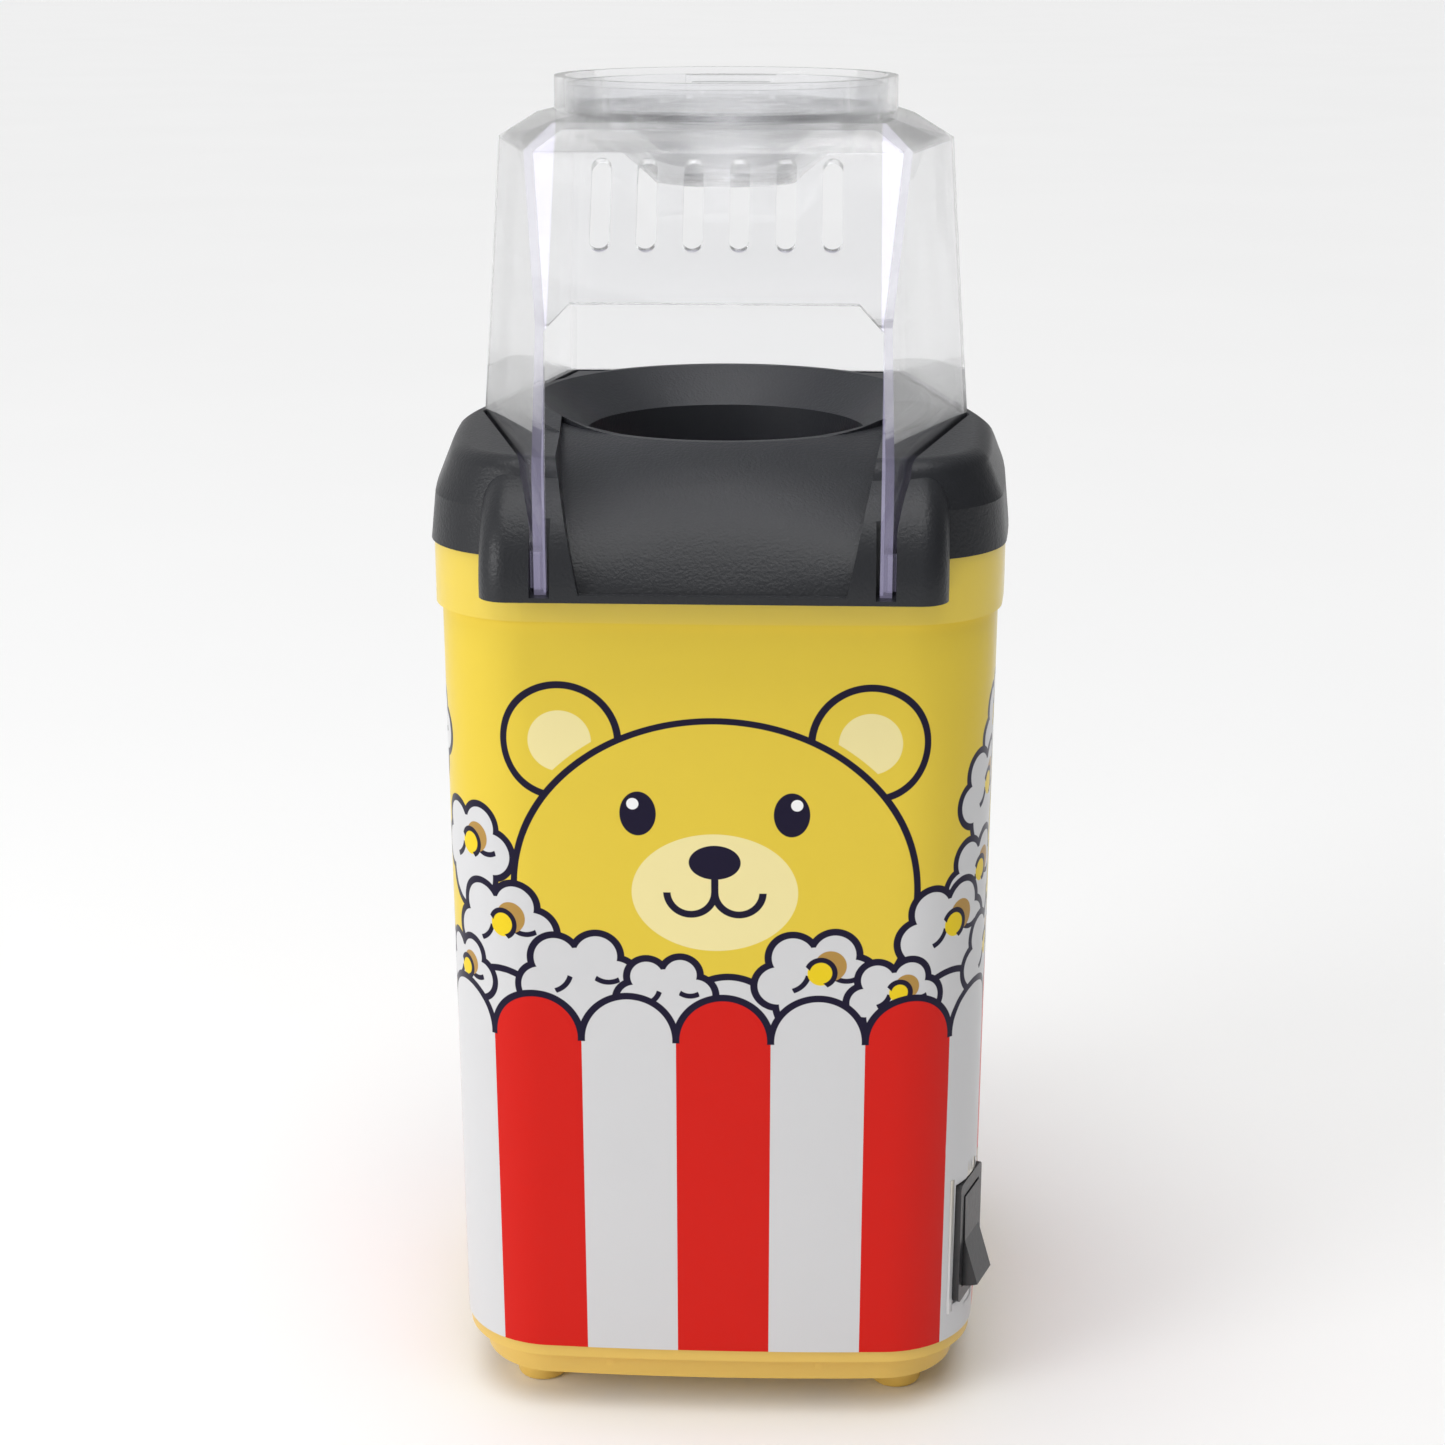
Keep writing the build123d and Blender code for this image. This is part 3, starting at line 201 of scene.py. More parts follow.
class Ink:
    """Adds nodes to a material and wires them; shapes are distances in millimetres."""

    def __init__(self, tree):
        self.tree = tree

    def node(self, kind, **settings):
        made = self.tree.nodes.new(kind)
        for name, value in settings.items():
            setattr(made, name, value)
        return made

    def feed(self, socket, value):
        if isinstance(value, bpy.types.NodeSocket):
            self.tree.links.new(value, socket)
        else:
            socket.default_value = value

    def math(self, operation, first, second=None, third=None, clamp=False):
        made = self.node("ShaderNodeMath", operation=operation, use_clamp=clamp)
        for socket, value in zip(made.inputs, (first, second, third)):
            if value is not None:
                self.feed(socket, value)
        return made.outputs[0]

    def point(self, across, up):
        made = self.node("ShaderNodeCombineXYZ")
        self.feed(made.inputs[0], across)
        self.feed(made.inputs[1], up)
        return made.outputs[0]

    def disc(self, point, x, y, radius):
        made = self.node("ShaderNodeVectorMath", operation="DISTANCE")
        self.feed(made.inputs[0], point)
        made.inputs[1].default_value = (x, y, 0.0)
        return self.math("SUBTRACT", made.outputs["Value"], radius)

    def oval(self, point, x, y, half_width, half_height):
        """Roughly the distance to an oval, from a disc in stretched space."""
        made = self.node("ShaderNodeVectorMath", operation="MULTIPLY")
        self.feed(made.inputs[0], point)
        made.inputs[1].default_value = (1.0, half_width / half_height, 1.0)
        return self.disc(made.outputs[0], x, y * half_width / half_height, half_width)

    def merge(self, shapes):
        whole = shapes[0]
        for shape in shapes[1:]:
            whole = self.math("MINIMUM", whole, shape)
        return whole

    def both(self, first, second):
        return self.math("MAXIMUM", first, second)

    def stroke(self, shape, width):
        """The line of a given width along a shape's edge."""
        return self.math("SUBTRACT", self.math("ABSOLUTE", shape), width / 2)

    def paint(self, ground, shape, colour, edge=0.12):
        """Lays a colour over the ground inside a shape, with a soft thin edge."""
        cover = self.math("MULTIPLY_ADD", shape, -1.0 / edge, 0.5, clamp=True)
        made = self.node("ShaderNodeMix", data_type="RGBA")
        self.feed(made.inputs["Factor"], cover)
        self.feed(made.inputs["A"], ground)
        self.feed(made.inputs["B"], tuple(colour))
        return made.outputs["Result"]

    def noise(self, scale, detail=3.0):
        where = self.node("ShaderNodeTexCoord")
        made = self.node("ShaderNodeTexNoise")
        self.tree.links.new(where.outputs["Object"], made.inputs["Vector"])
        made.inputs["Scale"].default_value = scale
        made.inputs["Detail"].default_value = detail
        return made.outputs["Fac"]

    def span(self, value, low, high):
        made = self.node("ShaderNodeMapRange")
        self.feed(made.inputs["Value"], value)
        made.inputs["To Min"].default_value = low
        made.inputs["To Max"].default_value = high
        return made.outputs["Result"]

    def bump(self, height, strength, distance):
        made = self.node("ShaderNodeBump")
        made.inputs["Strength"].default_value = strength
        made.inputs["Distance"].default_value = distance
        self.feed(made.inputs["Height"], height)
        return made.outputs["Normal"]


def new_material(name):
    """An empty node material with a Principled shader, and the Ink that adds to it."""
    material = bpy.data.materials.new(name)
    material.use_nodes = True
    shader = material.node_tree.nodes["Principled BSDF"]
    return material, shader, Ink(material.node_tree)


def dress(node, material):
    """Gives a CAD node its finished material."""
    slots = frame["nodes"][node].material_slots
    for entry in slots:
        entry.material = material
    if not slots:
        frame["nodes"][node].data.materials.append(material)


def moulded(name, colour, roughness, grain_scale=900.0, grain=0.06, mottle=0.05):
    """Moulded plastic: fine spark grain, faint cloudiness and uneven gloss."""
    material, shader, ink = new_material(name)
    cloud = ink.noise(24.0)
    dark = tuple(channel * (1.0 - mottle) for channel in colour[:3]) + (1.0,)
    light = tuple(min(1.0, channel * (1.0 + mottle)) for channel in colour[:3]) + (1.0,)
    blend = ink.node("ShaderNodeMix", data_type="RGBA")
    ink.feed(blend.inputs["Factor"], cloud)
    blend.inputs["A"].default_value = dark
    blend.inputs["B"].default_value = light
    ink.feed(shader.inputs["Base Color"], blend.outputs["Result"])
    fine = ink.noise(grain_scale, 2.0)
    ink.feed(shader.inputs["Roughness"], ink.span(fine, roughness - 0.05, roughness + 0.07))
    ink.feed(shader.inputs["Normal"], ink.bump(fine, grain, 0.0006))
    return material


def metal(name, colour, roughness, stretch):
    """Metal with fine drawn or spun lines."""
    material, shader, ink = new_material(name)
    where = ink.node("ShaderNodeTexCoord")
    scaled = ink.node("ShaderNodeVectorMath", operation="MULTIPLY")
    ink.feed(scaled.inputs[0], where.outputs["Object"])
    scaled.inputs[1].default_value = tuple(40.0 * axis for axis in stretch)
    lines = ink.node("ShaderNodeTexNoise")
    ink.feed(lines.inputs["Vector"], scaled.outputs[0])
    lines.inputs["Scale"].default_value = 3.0
    lines.inputs["Detail"].default_value = 4.0
    tone = ink.node("ShaderNodeMix", data_type="RGBA")
    ink.feed(tone.inputs["Factor"], lines.outputs["Fac"])
    tone.inputs["A"].default_value = tuple(channel * 0.82 for channel in colour) + (1.0,)
    tone.inputs["B"].default_value = tuple(colour) + (1.0,)
    ink.feed(shader.inputs["Base Color"], tone.outputs["Result"])
    shader.inputs["Metallic"].default_value = 1.0
    grooves = lines.outputs["Fac"]
    ink.feed(shader.inputs["Roughness"], ink.span(grooves, roughness - 0.08, roughness + 0.1))
    ink.feed(shader.inputs["Normal"], ink.bump(grooves, 0.08, 0.0004))
    return material


# ---- the print on the body ------------------------------------------------------------


def unrolled_share(place, right, half_width, half_depth):
    """Share of the way from the front's middle to the back's, round a rounded square."""
    across = abs(place.x)
    forward = AXIS_Y - place.y
    straight_x = half_width - CORNER
    straight_y = half_depth - CORNER
    quarter = CORNER * math.pi / 2
    whole = 2 * (straight_x + straight_y + quarter)
    if across <= straight_x and forward > 0:
        length = across
    elif across <= straight_x:
        length = whole - across
    elif forward > straight_y:
        length = straight_x + CORNER * math.atan2(across - straight_x, forward - straight_y)
    elif forward > -straight_y:
        length = straight_x + quarter + straight_y - forward
    else:
        turn = math.atan2(-forward - straight_y, across - straight_x)
        length = straight_x + quarter + 2 * straight_y + CORNER * turn
    return (1 if right else -1) * length / whole


def wrap_mesh(thickness):
    """The printed film: the body's outer faces, lifted off it, with an unrolled map."""
    hinge = Vector(JOINTS["switch_rock"]["axis"])
    pocket_out = Vector((hinge.y, -hinge.x, 0.0)).normalized()
    film = bmesh.new()
    film.from_mesh(frame["nodes"]["body_shell"].data)
    bmesh.ops.remove_doubles(film, verts=film.verts, dist=1e-6)
    bmesh.ops.bisect_plane(
        film, geom=film.verts[:] + film.edges[:] + film.faces[:], dist=1e-7,
        plane_co=(0.0, 0.0, 0.0), plane_no=(1.0, 0.0, 0.0),
    )
    film.normal_update()
    unwanted = []
    for face in film.faces:
        centre = face.calc_center_median()
        outward = Vector((centre.x, centre.y - AXIS_Y, 0.0)).normalized()
        in_pocket = (
            POCKET_LOW.z - POCKET_MARGIN < centre.z < POCKET_HIGH.z + POCKET_MARGIN
            and (face.normal - pocket_out).length < POCKET_LIKENESS
        )
        too_high = max(vert.co.z for vert in face.verts) > SHELL_HIGH.z - RIM_BAND + 0.2 * MM
        faces_away = face.normal.dot(outward) < OUTWARD or abs(face.normal.z) > UPRIGHT
        if faces_away or in_pocket or too_high:
            unwanted.append(face)
    bmesh.ops.delete(film, geom=unwanted, context="FACES")
    film.normal_update()

    # Half width and half depth at the foot and at the top of the printed part
    low = min(vert.co.z for vert in film.verts)
    high = max(vert.co.z for vert in film.verts)
    foot = [vert.co for vert in film.verts if vert.co.z < low + 0.1 * MM]
    top = [vert.co for vert in film.verts if vert.co.z > high - 0.1 * MM]
    halves = [
        (max(co.x for co in ring), max(AXIS_Y - co.y for co in ring)) for ring in (foot, top)
    ]
    girths = [
        4 * (width + depth - 2 * CORNER) + 2 * math.pi * CORNER for width, depth in halves
    ]
    around = sum(girths) / 2

    layer = film.loops.layers.uv.new(PRINT_MAP)
    for face in film.faces:
        right = face.calc_center_median().x > 0.0
        for loop in face.loops:
            place = loop.vert.co
            rise = (place.z - low) / (high - low)
            half_width = halves[0][0] + rise * (halves[1][0] - halves[0][0])
            half_depth = halves[0][1] + rise * (halves[1][1] - halves[0][1])
            share = unrolled_share(place, right, half_width, half_depth)
            loop[layer].uv = (0.5 + 0.5 * share, rise)
    lifts = [(vert, Vector((vert.normal.x, vert.normal.y, 0.0)).normalized()) for vert in film.verts]
    for vert, normal in lifts:
        vert.co += normal * thickness
    for face in film.faces:
        face.smooth = True
    mesh = bpy.data.meshes.new("printed_wrap")
    film.to_mesh(mesh)
    film.free()
    return mesh, around / MM, (high - low) / MM, low / MM


def puff_row(ink, ground, across, up, look, row):
    """One row of drawn popcorn puffs, each a little different from the next."""
    height, pitch, count, middle, seed, start, size = row
    shift = pitch / 2 - middle
    share = ink.math("DIVIDE", ink.math("ADD", across, shift), pitch)
    cell = ink.math("FLOOR", share)
    local = ink.math("MULTIPLY", ink.math("SUBTRACT", ink.math("SUBTRACT", share, cell), 0.5), pitch)
    chance = ink.node("ShaderNodeTexWhiteNoise", noise_dimensions="1D")
    ink.feed(chance.inputs["W"], ink.math("ADD", ink.math("FLOORED_MODULO", cell, count), seed))
    parts = ink.node("ShaderNodeSeparateColor")
    ink.feed(parts.inputs[0], chance.outputs["Color"])
    wander, rise, fate = parts.outputs
    local_x = ink.math("SUBTRACT", local, ink.math("MULTIPLY_ADD", wander, 2.4, -1.2))
    local_y = ink.math("SUBTRACT", ink.math("SUBTRACT", up, height), ink.math("MULTIPLY", rise, 3.0))
    spot = ink.point(local_x, local_y)
    lobes = (
        (0.0, 0.0, 6.8), (-7.2, -1.6, 4.4), (6.8, -0.4, 4.8),
        (-4.4, 4.0, 4.6), (3.4, 4.6, 4.6), (0.0, -5.0, 7.6),
    )
    body = ink.merge([ink.disc(spot, x * size, y * size, radius * size) for x, y, radius in lobes])
    # Where the cell's middle is too near the front, the puff is left out
    if start > 0.0:
        cell_share = ink.math("MULTIPLY", ink.math("ADD", cell, 0.5), pitch)
        cell_middle = ink.math("SUBTRACT", cell_share, shift)
        too_near = ink.math("SUBTRACT", start, ink.math("ABSOLUTE", cell_middle))
        body = ink.both(body, too_near)
    half = look.line / 2
    ground = ink.paint(ground, ink.math("SUBTRACT", body, half), look.ink)
    ground = ink.paint(ground, ink.math("ADD", body, half), look.white)
    # Creases between the lobes
    crease = ink.merge([
        ink.both(
            ink.stroke(ink.disc(spot, -5.6 * size, 1.4 * size, 4.2 * size), look.line * 0.75),
            ink.disc(spot, -2.4 * size, -1.6 * size, 2.2 * size),
        ),
        ink.both(
            ink.stroke(ink.disc(spot, 5.6 * size, 3.4 * size, 4.0 * size), look.line * 0.75),
            ink.disc(spot, 5.4 * size, -0.8 * size, 2.4 * size),
        ),
    ])
    inside = ink.math("ADD", body, half)
    ground = ink.paint(ground, ink.both(crease, inside), look.ink)
    # A kernel with its shaded husk shows on most puffs
    hidden = ink.math("MULTIPLY_ADD", fate, -20.0, 1.5)
    shown = ink.both(hidden, inside)
    husk = ink.both(ink.disc(spot, 2.6 * size, 2.4 * size, 3.0 * size), shown)
    kernel = ink.both(ink.disc(spot, 0.8 * size, 1.0 * size, 2.5 * size), shown)
    hook = ink.both(
        ink.stroke(ink.disc(spot, 0.8 * size, 1.0 * size, 2.6 * size), look.line * 0.75),
        ink.math("SUBTRACT", 0.2 * size, ink.math("ADD", local_x, local_y)),
    )
    ground = ink.paint(ground, husk, look.husk)
    ground = ink.paint(ground, kernel, look.kernel)
    return ink.paint(ground, ink.both(hook, shown), look.ink)


def mound_row(ink, ground, across, up, look, height, pitch, middle, radius):
    """A row of plain round mounds behind the puffs."""
    share = ink.math("DIVIDE", ink.math("ADD", across, pitch / 2 - middle), pitch)
    local = ink.math("MULTIPLY", ink.math("SUBTRACT", ink.math("FRACT", share), 0.5), pitch)
    spot = ink.point(local, ink.math("SUBTRACT", up, height))
    body = ink.disc(spot, 0.0, 0.0, radius)
    half = look.line / 2
    ground = ink.paint(ground, ink.math("SUBTRACT", body, half), look.ink)
    return ink.paint(ground, ink.math("ADD", body, half), look.white)


def bear_face(ink, ground, across, up, look):
    """A plain bear's face: round ears, dot eyes, a pale muzzle and a small smile."""
    spot = ink.point(across, up)
    side = ink.point(ink.math("ABSOLUTE", across), up)
    line = look.line
    cream = (0.86, 0.75, 0.36, 1.0)
    head = ink.oval(spot, 0.0, 130.0, 44.0, 39.0)
    ear = ink.disc(side, 33.0, 164.0, 12.5)
    ear_inner = ink.both(ink.disc(side, 33.0, 164.0, 6.8), ink.math("SUBTRACT", 2.4, head))
    outside = ink.math("MULTIPLY", head, -1.0)
    ground = ink.paint(ground, ink.both(ink.stroke(ear, line), outside), look.ink)
    ground = ink.paint(ground, ear_inner, cream)
    ground = ink.paint(ground, ink.stroke(head, line), look.ink)
    ground = ink.paint(ground, ink.oval(spot, 0.0, 130.0, 18.0, 13.5), cream)
    ground = ink.paint(ground, ink.oval(side, 16.5, 148.0, 3.9, 5.0), look.ink)
    ground = ink.paint(ground, ink.disc(side, 17.6, 150.2, 1.3), (0.9, 0.9, 0.9, 1.0))
    ground = ink.paint(ground, ink.oval(spot, 0.0, 137.0, 5.6, 3.9), look.ink)
    smile = ink.both(
        ink.stroke(ink.disc(side, 5.2, 130.2, 5.2), line),
        ink.math("SUBTRACT", up, 130.0),
    )
    stem = ink.both(
        ink.math("SUBTRACT", ink.math("ABSOLUTE", across), line / 2),
        ink.math("SUBTRACT", ink.math("ABSOLUTE", ink.math("SUBTRACT", up, 132.0)), 2.8),
    )
    return ink.paint(ink.paint(ground, smile, look.ink), stem, look.ink)


def print_material(look, around, tall, low):
    """The box pattern: yellow field, bear, popcorn heap and scalloped stripes."""
    material, shader, ink = new_material("print_gloss")
    where = ink.node("ShaderNodeUVMap", uv_map=PRINT_MAP)
    parts = ink.node("ShaderNodeSeparateXYZ")
    ink.feed(parts.inputs[0], where.outputs[0])
    across = ink.math("MULTIPLY_ADD", parts.outputs[0], around, -around / 2)
    up = ink.math("MULTIPLY_ADD", parts.outputs[1], tall, low)

    ground = bear_face(ink, tuple(look.field), across, up, look)
    top = look.stripe_top
    count = 9
    pitch = around / count
    for row in (
        (top + 66.0, pitch, count, 25.0, 61.0, 72.0, 1.1),
        (top + 52.0, pitch, count, 17.0, 41.0, 64.0, 1.15),
        (top + 41.0, pitch, count, -7.0, 17.0, 56.0, 1.15),
        (top + 34.0, pitch, count, 12.0, 5.0, 58.0, 1.1),
        (top + 24.0, pitch, count, 2.0, 29.0, 46.0, 1.2),
    ):
        ground = puff_row(ink, ground, across, up, look, row)
    ground = mound_row(ink, ground, across, up, look, top + 4.0, pitch, 3.0, 11.5)
    for row in (
        (top + 13.5, pitch, count, 21.5, 3.0, 0.0, 1.18),
        (top + 10.5, pitch, count, -10.5, 11.0, 0.0, 0.95),
    ):
        ground = puff_row(ink, ground, across, up, look, row)

    # Stripes: red at the middle of the front, then white and red in turn
    width = around / look.stripes
    share = ink.math("DIVIDE", ink.math("SUBTRACT", across, look.stripe_shift), width)
    nearest = ink.math("ROUND", share)
    local = ink.math("MULTIPLY", ink.math("SUBTRACT", share, nearest), width)
    scallop = ink.disc(ink.point(local, ink.math("SUBTRACT", up, top)), 0.0, 0.0, width / 2)
    below = ink.math("SUBTRACT", up, top)
    stripe = ink.math("MINIMUM", scallop, below)
    odd = ink.math("ABSOLUTE", ink.math("MODULO", nearest, 2.0))
    cloth = ink.node("ShaderNodeMix", data_type="RGBA")
    ink.feed(cloth.inputs["Factor"], odd)
    cloth.inputs["A"].default_value = tuple(look.red)
    cloth.inputs["B"].default_value = tuple(look.white)
    cover = ink.math("MULTIPLY_ADD", stripe, -8.0, 0.5, clamp=True)
    laid = ink.node("ShaderNodeMix", data_type="RGBA")
    ink.feed(laid.inputs["Factor"], cover)
    ink.feed(laid.inputs["A"], ground)
    ink.feed(laid.inputs["B"], cloth.outputs["Result"])
    edge = ink.both(ink.stroke(scallop, look.line), ink.math("SUBTRACT", -0.6, below))
    ground = ink.paint(laid.outputs["Result"], edge, look.ink)

    # The film's ink is laid a touch unevenly
    uneven = ink.noise(60.0)
    toned = ink.node("ShaderNodeHueSaturation")
    ink.feed(toned.inputs["Value"], ink.span(uneven, 0.985, 1.015))
    ink.feed(toned.inputs["Color"], ground)
    ink.feed(shader.inputs["Base Color"], toned.outputs[0])
    fine = ink.noise(220.0, 2.0)
    ink.feed(shader.inputs["Roughness"], ink.span(fine, 0.26, 0.34))
    ink.feed(shader.inputs["Normal"], ink.bump(fine, 0.015, 0.0005))
    shader.inputs["Specular IOR Level"].default_value = 0.16
    shader.inputs["Coat Weight"].default_value = 0.06
    shader.inputs["Coat Roughness"].default_value = 0.12
    return material


def shell_material(look):
    """The shell itself: pale where the stripes end in the switch's pocket, yellow above."""
    material = moulded("shell_yellow", look.field, 0.3, 220.0, 0.015, 0.015)
    ink = Ink(material.node_tree)
    shader = material.node_tree.nodes["Principled BSDF"]
    yellow = shader.inputs["Base Color"].links[0].from_socket
    where = ink.node("ShaderNodeTexCoord")
    parts = ink.node("ShaderNodeSeparateXYZ")
    ink.feed(parts.inputs[0], where.outputs["Object"])
    lift = frame["nodes"]["body_shell"].matrix_world.translation.z
    above = ink.math("SUBTRACT", look.stripe_top * MM - lift, parts.outputs[2])
    below = ink.math("MULTIPLY", above, -1.0)
    ink.feed(shader.inputs["Base Color"], ink.paint(yellow, below, look.white))
    shader.inputs["Coat Weight"].default_value = 0.15
    shader.inputs["Coat Roughness"].default_value = 0.12
    return material


# ---- clear plastic ------------------------------------------------------------------------


def clear_plastic(look, name, edges_from=None):
    """Clear moulded plastic with faint flow marks; a painted glow can be laid along its front edges."""
    material, shader, ink = new_material(name)
    shader.inputs["IOR"].default_value = look.clear_ior
    shader.inputs["Transmission Weight"].default_value = 1.0
    shader.inputs["Alpha"].default_value = look.clear_body
    shader.inputs["Specular IOR Level"].default_value = 0.6
    flow = ink.noise(30.0, 2.0)
    tint = ink.node("ShaderNodeMix", data_type="RGBA")
    ink.feed(tint.inputs["Factor"], flow)
    tint.inputs["A"].default_value = tuple(look.clear)
    tint.inputs["B"].default_value = (0.965, 0.965, 0.975, 1.0)
    ink.feed(shader.inputs["Base Color"], tint.outputs["Result"])
    ink.feed(shader.inputs["Roughness"], ink.span(flow, 0.0, 0.03))
    ink.feed(shader.inputs["Normal"], ink.bump(flow, 0.04, 0.0008))
    if edges_from:
        # Painted glow on the front faces of the legs and rails, and on the underside of the mouth's
        # sill
        low_z, high_z = edges_from
        shift = frame["nodes"]["hood"].matrix_world.translation
        where = ink.node("ShaderNodeTexCoord")
        place = ink.node("ShaderNodeSeparateXYZ")
        facing = ink.node("ShaderNodeSeparateXYZ")
        ink.feed(place.inputs[0], where.outputs["Object"])
        ink.feed(facing.inputs[0], where.outputs["Normal"])
        height = ink.math("ADD", place.outputs[2], shift.z)
        front = ink.math("LESS_THAN", place.outputs[1], AXIS_Y - FRONT_BACKSET - shift.y)
        leg = ink.math(
            "MULTIPLY", ink.math("LESS_THAN", facing.outputs[1], -0.7),
            ink.math("LESS_THAN", height, low_z),
        )
        rail = ink.math(
            "MULTIPLY", ink.math("LESS_THAN", facing.outputs[1], -0.3),
            ink.math("GREATER_THAN", ink.math("ABSOLUTE", place.outputs[0]), RAIL_HALF_GAP),
        )
        leg = ink.math("MAXIMUM", leg, rail)
        sill = ink.math(
            "MULTIPLY", ink.math("LESS_THAN", facing.outputs[2], -0.5),
            ink.math(
                "LESS_THAN", ink.math("ABSOLUTE", ink.math("SUBTRACT", height, high_z)), SILL_BAND
            ),
        )
        painted_glow = ink.math("MULTIPLY", ink.math("MAXIMUM", leg, sill), look.painted_edge_glow)
        painted_glow = ink.math("MULTIPLY", painted_glow, front)
        # Painted glow: a lavender emission on the masked front edges, though the hood is no lamp
        shader.inputs["Emission Color"].default_value = (0.52, 0.48, 0.72, 1.0)
        ink.feed(shader.inputs["Emission Strength"], painted_glow)
    # Lamps shine through, so what stands behind the plastic is lit
    output = ink.tree.nodes["Material Output"]
    path = ink.node("ShaderNodeLightPath")
    veil = ink.node("ShaderNodeBsdfTransparent")
    veil.inputs["Color"].default_value = (0.9, 0.9, 0.92, 1.0)
    mixed = ink.node("ShaderNodeMixShader")
    ink.feed(mixed.inputs[0], path.outputs["Is Shadow Ray"])
    ink.feed(mixed.inputs[1], shader.outputs[0])
    ink.feed(mixed.inputs[2], veil.outputs[0])
    ink.feed(output.inputs["Surface"], mixed.outputs[0])
    return material


# ---- operators -----------------------------------------------------------------------------


class MakerOperator:
    """What the operators share."""

    bl_options = {"REGISTER", "UNDO"}


class POPCORN_OT_print(MakerOperator, bpy.types.Operator):
    """Wrap the printed film round the body and finish the shell under it"""

    bl_idname = "popcorn.print"
    bl_label = "Printed Body"

    def execute(self, context):
        look = context.scene.popcorn_print
        mesh, around, tall, low = wrap_mesh(FILM_LIFT)
        film = bpy.data.objects.new("printed_wrap", mesh)
        context.scene.collection.objects.link(film)
        mesh.materials.append(print_material(look, around, tall, low))
        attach(film, "base")
        dress("body_shell", shell_material(look))
        return {"FINISHED"}


class POPCORN_OT_plastics(MakerOperator, bpy.types.Operator):
    """Finish the black collar, the yellow base and the other moulded parts"""

    bl_idname = "popcorn.plastics"
    bl_label = "Moulded Plastics"

    def execute(self, context):
        look = context.scene.popcorn_plastic
        collar = moulded("collar_black", look.collar, 0.36, 1500.0, 0.2, 0.12)
        collar.node_tree.nodes["Principled BSDF"].inputs["Specular IOR Level"].default_value = 0.3
        dress("top_collar", collar)
        base = moulded("base_yellow", look.base, 0.34, 700.0, 0.05, 0.03)
        dress("base_plate", base)
        dress("feet", base)
        switch = moulded("switch_black", (0.016, 0.016, 0.018, 1.0), 0.3, 900.0, 0.05, 0.05)
        for node in ("switch_housing", "switch_rocker"):
            dress(node, switch)
        dark = moulded("inner_black", (0.03, 0.03, 0.032, 1.0), 0.45, 800.0, 0.08, 0.08)
        for node in ("fan_case", "impeller", "motor_end_cap", "rectifier_diodes"):
            dress(node, dark)
        dress("cord_gland", moulded("gland_rubber", (0.02, 0.02, 0.02, 1.0), 0.6, 500.0, 0.1, 0.1))
        gasket = moulded("gasket_silicone", (0.4, 0.08, 0.05, 1.0), 0.55, 400.0, 0.05, 0.06)
        dress("chamber_gasket", gasket)
        dress("rectifier_board", moulded("board_green", (0.02, 0.12, 0.05, 1.0), 0.4, 900.0, 0.1, 0.15))
        return {"FINISHED"}


class POPCORN_OT_clear(MakerOperator, bpy.types.Operator):
    """Finish the clear hood and the measuring cup"""

    bl_idname = "popcorn.clear"
    bl_label = "Clear Hood and Cup"

    def execute(self, context):
        look = context.scene.popcorn_plastic
        deck_z = COLLAR_HIGH.z
        # The hood also gets the painted glow on its front edges
        dress("hood", clear_plastic(look, "hood_clear", (deck_z + LEG_TOP, deck_z + SILL_RISE)))
        dress("measuring_cup", clear_plastic(look, "cup_clear"))
        return {"FINISHED"}


class POPCORN_OT_works(MakerOperator, bpy.types.Operator):
    """Finish the chamber, heater, motor and screws"""

    bl_idname = "popcorn.works"
    bl_label = "Chamber and Works"

    def execute(self, context):
        dress("popping_chamber", metal("chamber_aluminium", (0.78, 0.78, 0.8), 0.3, (1, 1, 30)))
        steel = metal("plated_steel", (0.55, 0.56, 0.58), 0.32, (1, 1, 12))
        for node in ("heat_shield", "motor_can", "motor_bracket", "motor_shaft"):
            dress(node, steel)
        screw = metal("screw_steel", (0.5, 0.5, 0.52), 0.28, (8, 8, 8))
        for node in frame["nodes"]:
            if node.endswith("_screws"):
                dress(node, screw)
        dress("impeller_nut", metal("nut_brass", (0.75, 0.55, 0.22), 0.3, (6, 6, 6)))
        dress("heater_coil", metal("coil_wire", (0.22, 0.2, 0.19), 0.5, (9, 9, 9)))
        dress("heater_former", moulded("former_mica", (0.5, 0.44, 0.33, 1.0), 0.6, 300.0, 0.2, 0.2))
        pale = moulded("ceramic_pale", (0.72, 0.7, 0.64, 1.0), 0.5, 500.0, 0.08, 0.06)
        dress("thermostat", pale)
        dress("thermal_fuse", pale)
        return {"FINISHED"}


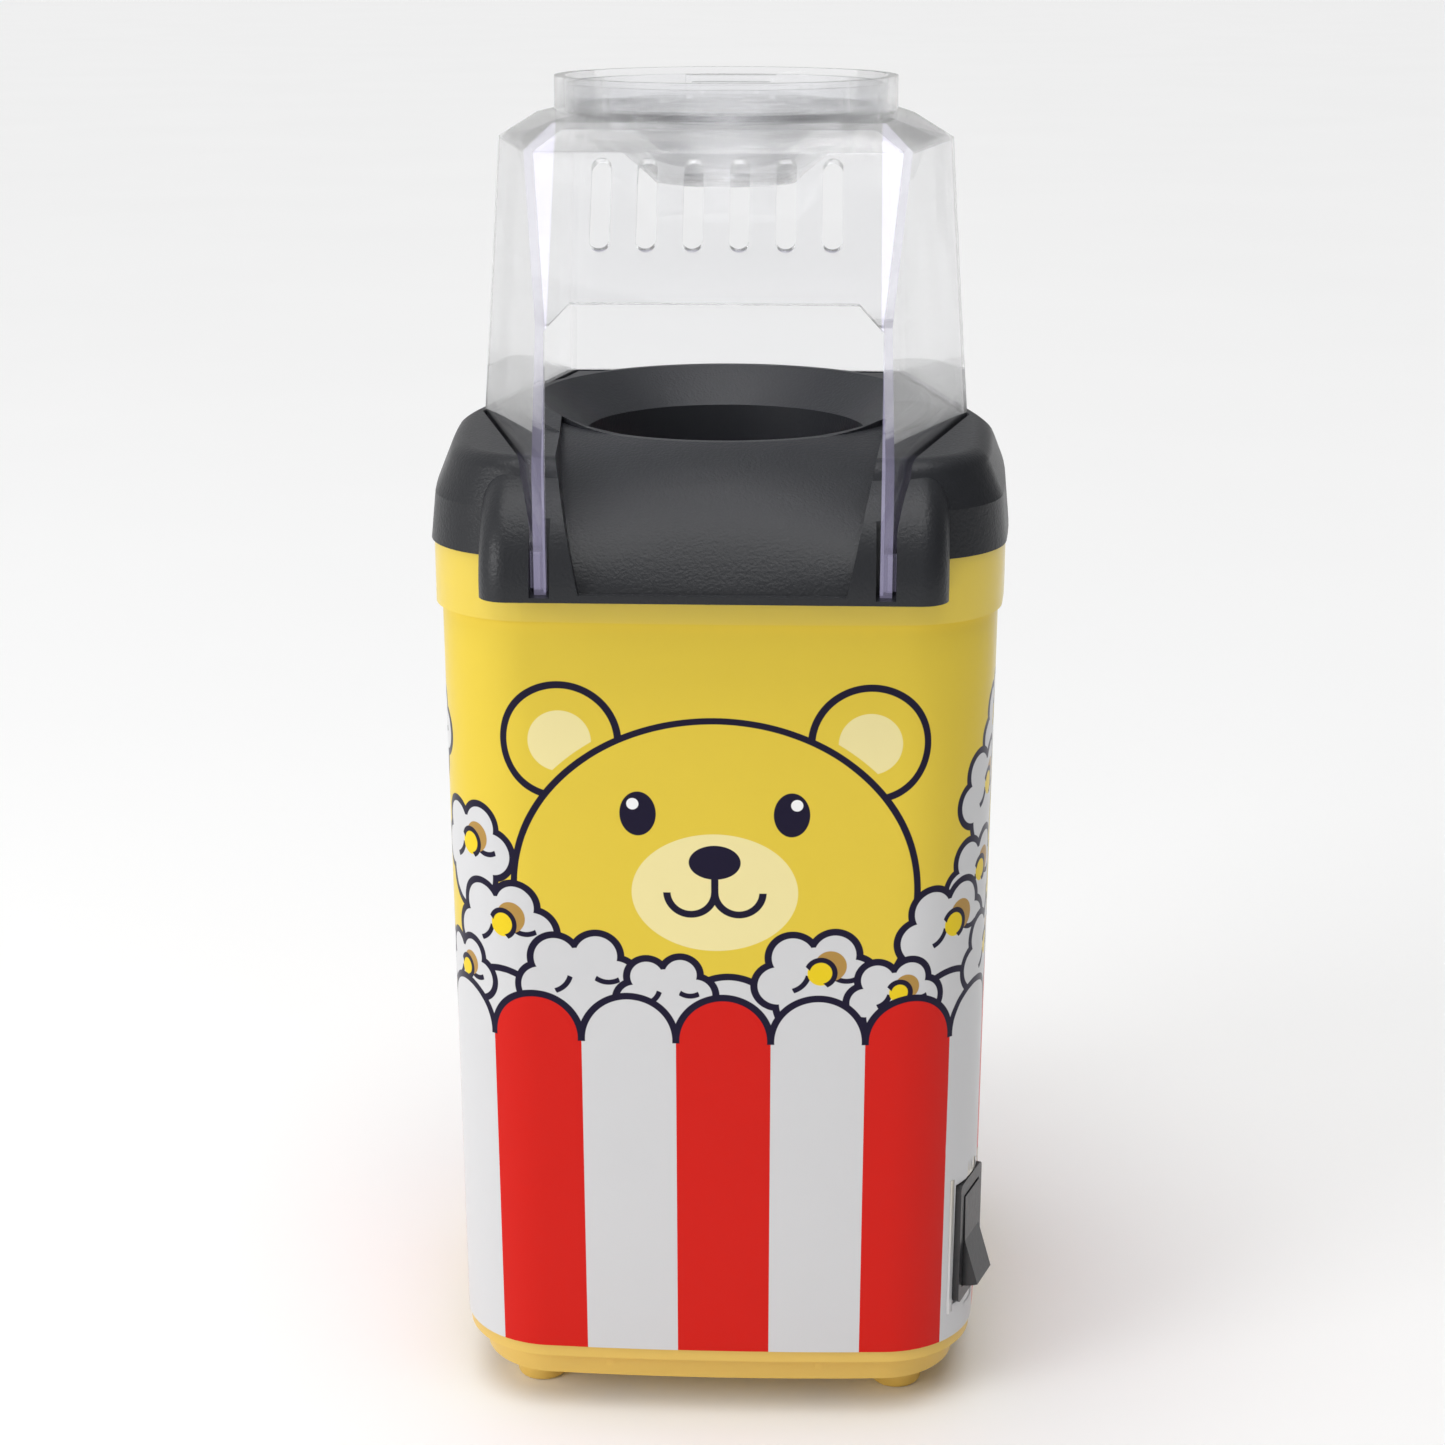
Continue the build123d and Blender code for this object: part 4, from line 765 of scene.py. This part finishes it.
class POPCORN_OT_stage(MakerOperator, bpy.types.Operator):
    """Lay the floor, hang the lights and stand the camera"""

    bl_idname = "popcorn.stage"
    bl_label = "Stage"

    def execute(self, context):
        scene = context.scene
        look = scene.popcorn_stage
        scene.view_settings.view_transform = "Standard"
        self.floor(scene)
        self.world(scene)
        target = Vector((0.0, AXIS_Y, 0.5 * SHELL_HIGH.z))
        self.light(scene, "key", KEY_PLACE, target, KEY_SIZE, look.key_power)
        self.sun(scene, look.sun_power)
        self.camera(scene, look)
        return {"FINISHED"}

    def floor(self, scene):
        mesh = bpy.data.meshes.new("floor")
        side = FLOOR_HALF
        corners = [(-side, -side, 0), (side, -side, 0), (side, side, 0), (-side, side, 0)]
        mesh.from_pydata(corners, [], [(0, 1, 2, 3)])
        floor = bpy.data.objects.new("floor", mesh)
        scene.collection.objects.link(floor)
        material, shader, ink = new_material("floor_white")
        cloud = ink.noise(3.0)
        shade = ink.span(cloud, 0.92, 0.95)
        ink.feed(shader.inputs["Base Color"], shade)
        shader.inputs["Roughness"].default_value = 0.7
        shader.inputs["Specular IOR Level"].default_value = 0.2
        mesh.materials.append(material)

    def world(self, scene):
        """A white room: bright where it is seen, softer where it lights, softest on the right."""
        world = bpy.data.worlds.new("studio")
        world.use_nodes = True
        ink = Ink(world.node_tree)
        back = world.node_tree.nodes["Background"]
        back.inputs["Color"].default_value = (1.0, 1.0, 1.0, 1.0)
        path = ink.node("ShaderNodeLightPath")
        bounced = ink.math("MAXIMUM", path.outputs["Is Diffuse Ray"], path.outputs["Is Glossy Ray"])
        where = ink.node("ShaderNodeTexCoord")
        parts = ink.node("ShaderNodeSeparateXYZ")
        ink.feed(parts.inputs[0], where.outputs["Generated"])
        amount = ink.math("MULTIPLY_ADD", parts.outputs[0], ROOM_DIM_RIGHT, ROOM_DIM)
        dimmed = ink.math("MULTIPLY", bounced, amount)
        soft = ink.math("SUBTRACT", 1.0, dimmed)
        ink.feed(back.inputs["Strength"], soft)
        scene.world = world

    def sun(self, scene, power):
        data = bpy.data.lights.new("overhead", "SUN")
        data.energy = power
        data.angle = SUN_SPREAD
        lamp = bpy.data.objects.new("overhead", data)
        lamp.rotation_euler = (SUN_LEAN, 0.0, 0.0)
        scene.collection.objects.link(lamp)

    def light(self, scene, name, place, target, size, power):
        data = bpy.data.lights.new(name, "AREA")
        data.shape = "DISK"
        data.size = size
        data.energy = power
        lamp = bpy.data.objects.new(name, data)
        lamp.location = place
        lamp.rotation_euler = (target - Vector(place)).to_track_quat("-Z", "Y").to_euler()
        scene.collection.objects.link(lamp)

    def camera(self, scene, look):
        data = bpy.data.cameras.new("camera")
        data.sensor_width = 36.0
        data.lens = look.lens
        camera = bpy.data.objects.new("camera", data)
        camera.location = (
            look.distance * math.sin(look.turn),
            AXIS_Y - look.distance * math.cos(look.turn),
            look.height,
        )
        camera.rotation_euler = (math.pi / 2 - look.tip, 0.0, look.turn + CAMERA_NUDGE)
        scene.collection.objects.link(camera)
        scene.camera = camera


class POPCORN_PT_panel(bpy.types.Panel):
    """Lists the maker's steps and settings."""

    bl_label = "Popcorn Maker"
    bl_idname = "POPCORN_PT_panel"
    bl_space_type = "VIEW_3D"
    bl_region_type = "UI"
    bl_category = "Popcorn Maker"

    def draw(self, context):
        column = self.layout.column(align=True)
        for step in STEPS:
            column.operator(step.bl_idname)
        for group in ("popcorn_print", "popcorn_plastic", "popcorn_stage"):
            settings = getattr(context.scene, group)
            box = self.layout.box()
            for name in settings.bl_rna.properties.keys():
                if name not in ("rna_type", "name"):
                    box.prop(settings, name)


STEPS = (
    POPCORN_OT_stage,
    POPCORN_OT_print,
    POPCORN_OT_plastics,
    POPCORN_OT_clear,
    POPCORN_OT_works,
)
CLASSES = (PrintSettings, PlasticSettings, StageSettings) + STEPS + (POPCORN_PT_panel,)


def register():
    for made in CLASSES:
        bpy.utils.register_class(made)
    bpy.types.Scene.popcorn_print = bpy.props.PointerProperty(type=PrintSettings)
    bpy.types.Scene.popcorn_plastic = bpy.props.PointerProperty(type=PlasticSettings)
    bpy.types.Scene.popcorn_stage = bpy.props.PointerProperty(type=StageSettings)


def unregister():
    del bpy.types.Scene.popcorn_stage
    del bpy.types.Scene.popcorn_plastic
    del bpy.types.Scene.popcorn_print
    for made in reversed(CLASSES):
        bpy.utils.unregister_class(made)


def main():
    register()
    bpy.ops.popcorn.stage()
    bpy.ops.popcorn.print()
    bpy.ops.popcorn.plastics()
    bpy.ops.popcorn.clear()
    bpy.ops.popcorn.works()


if __name__ == "__main__":
    main()
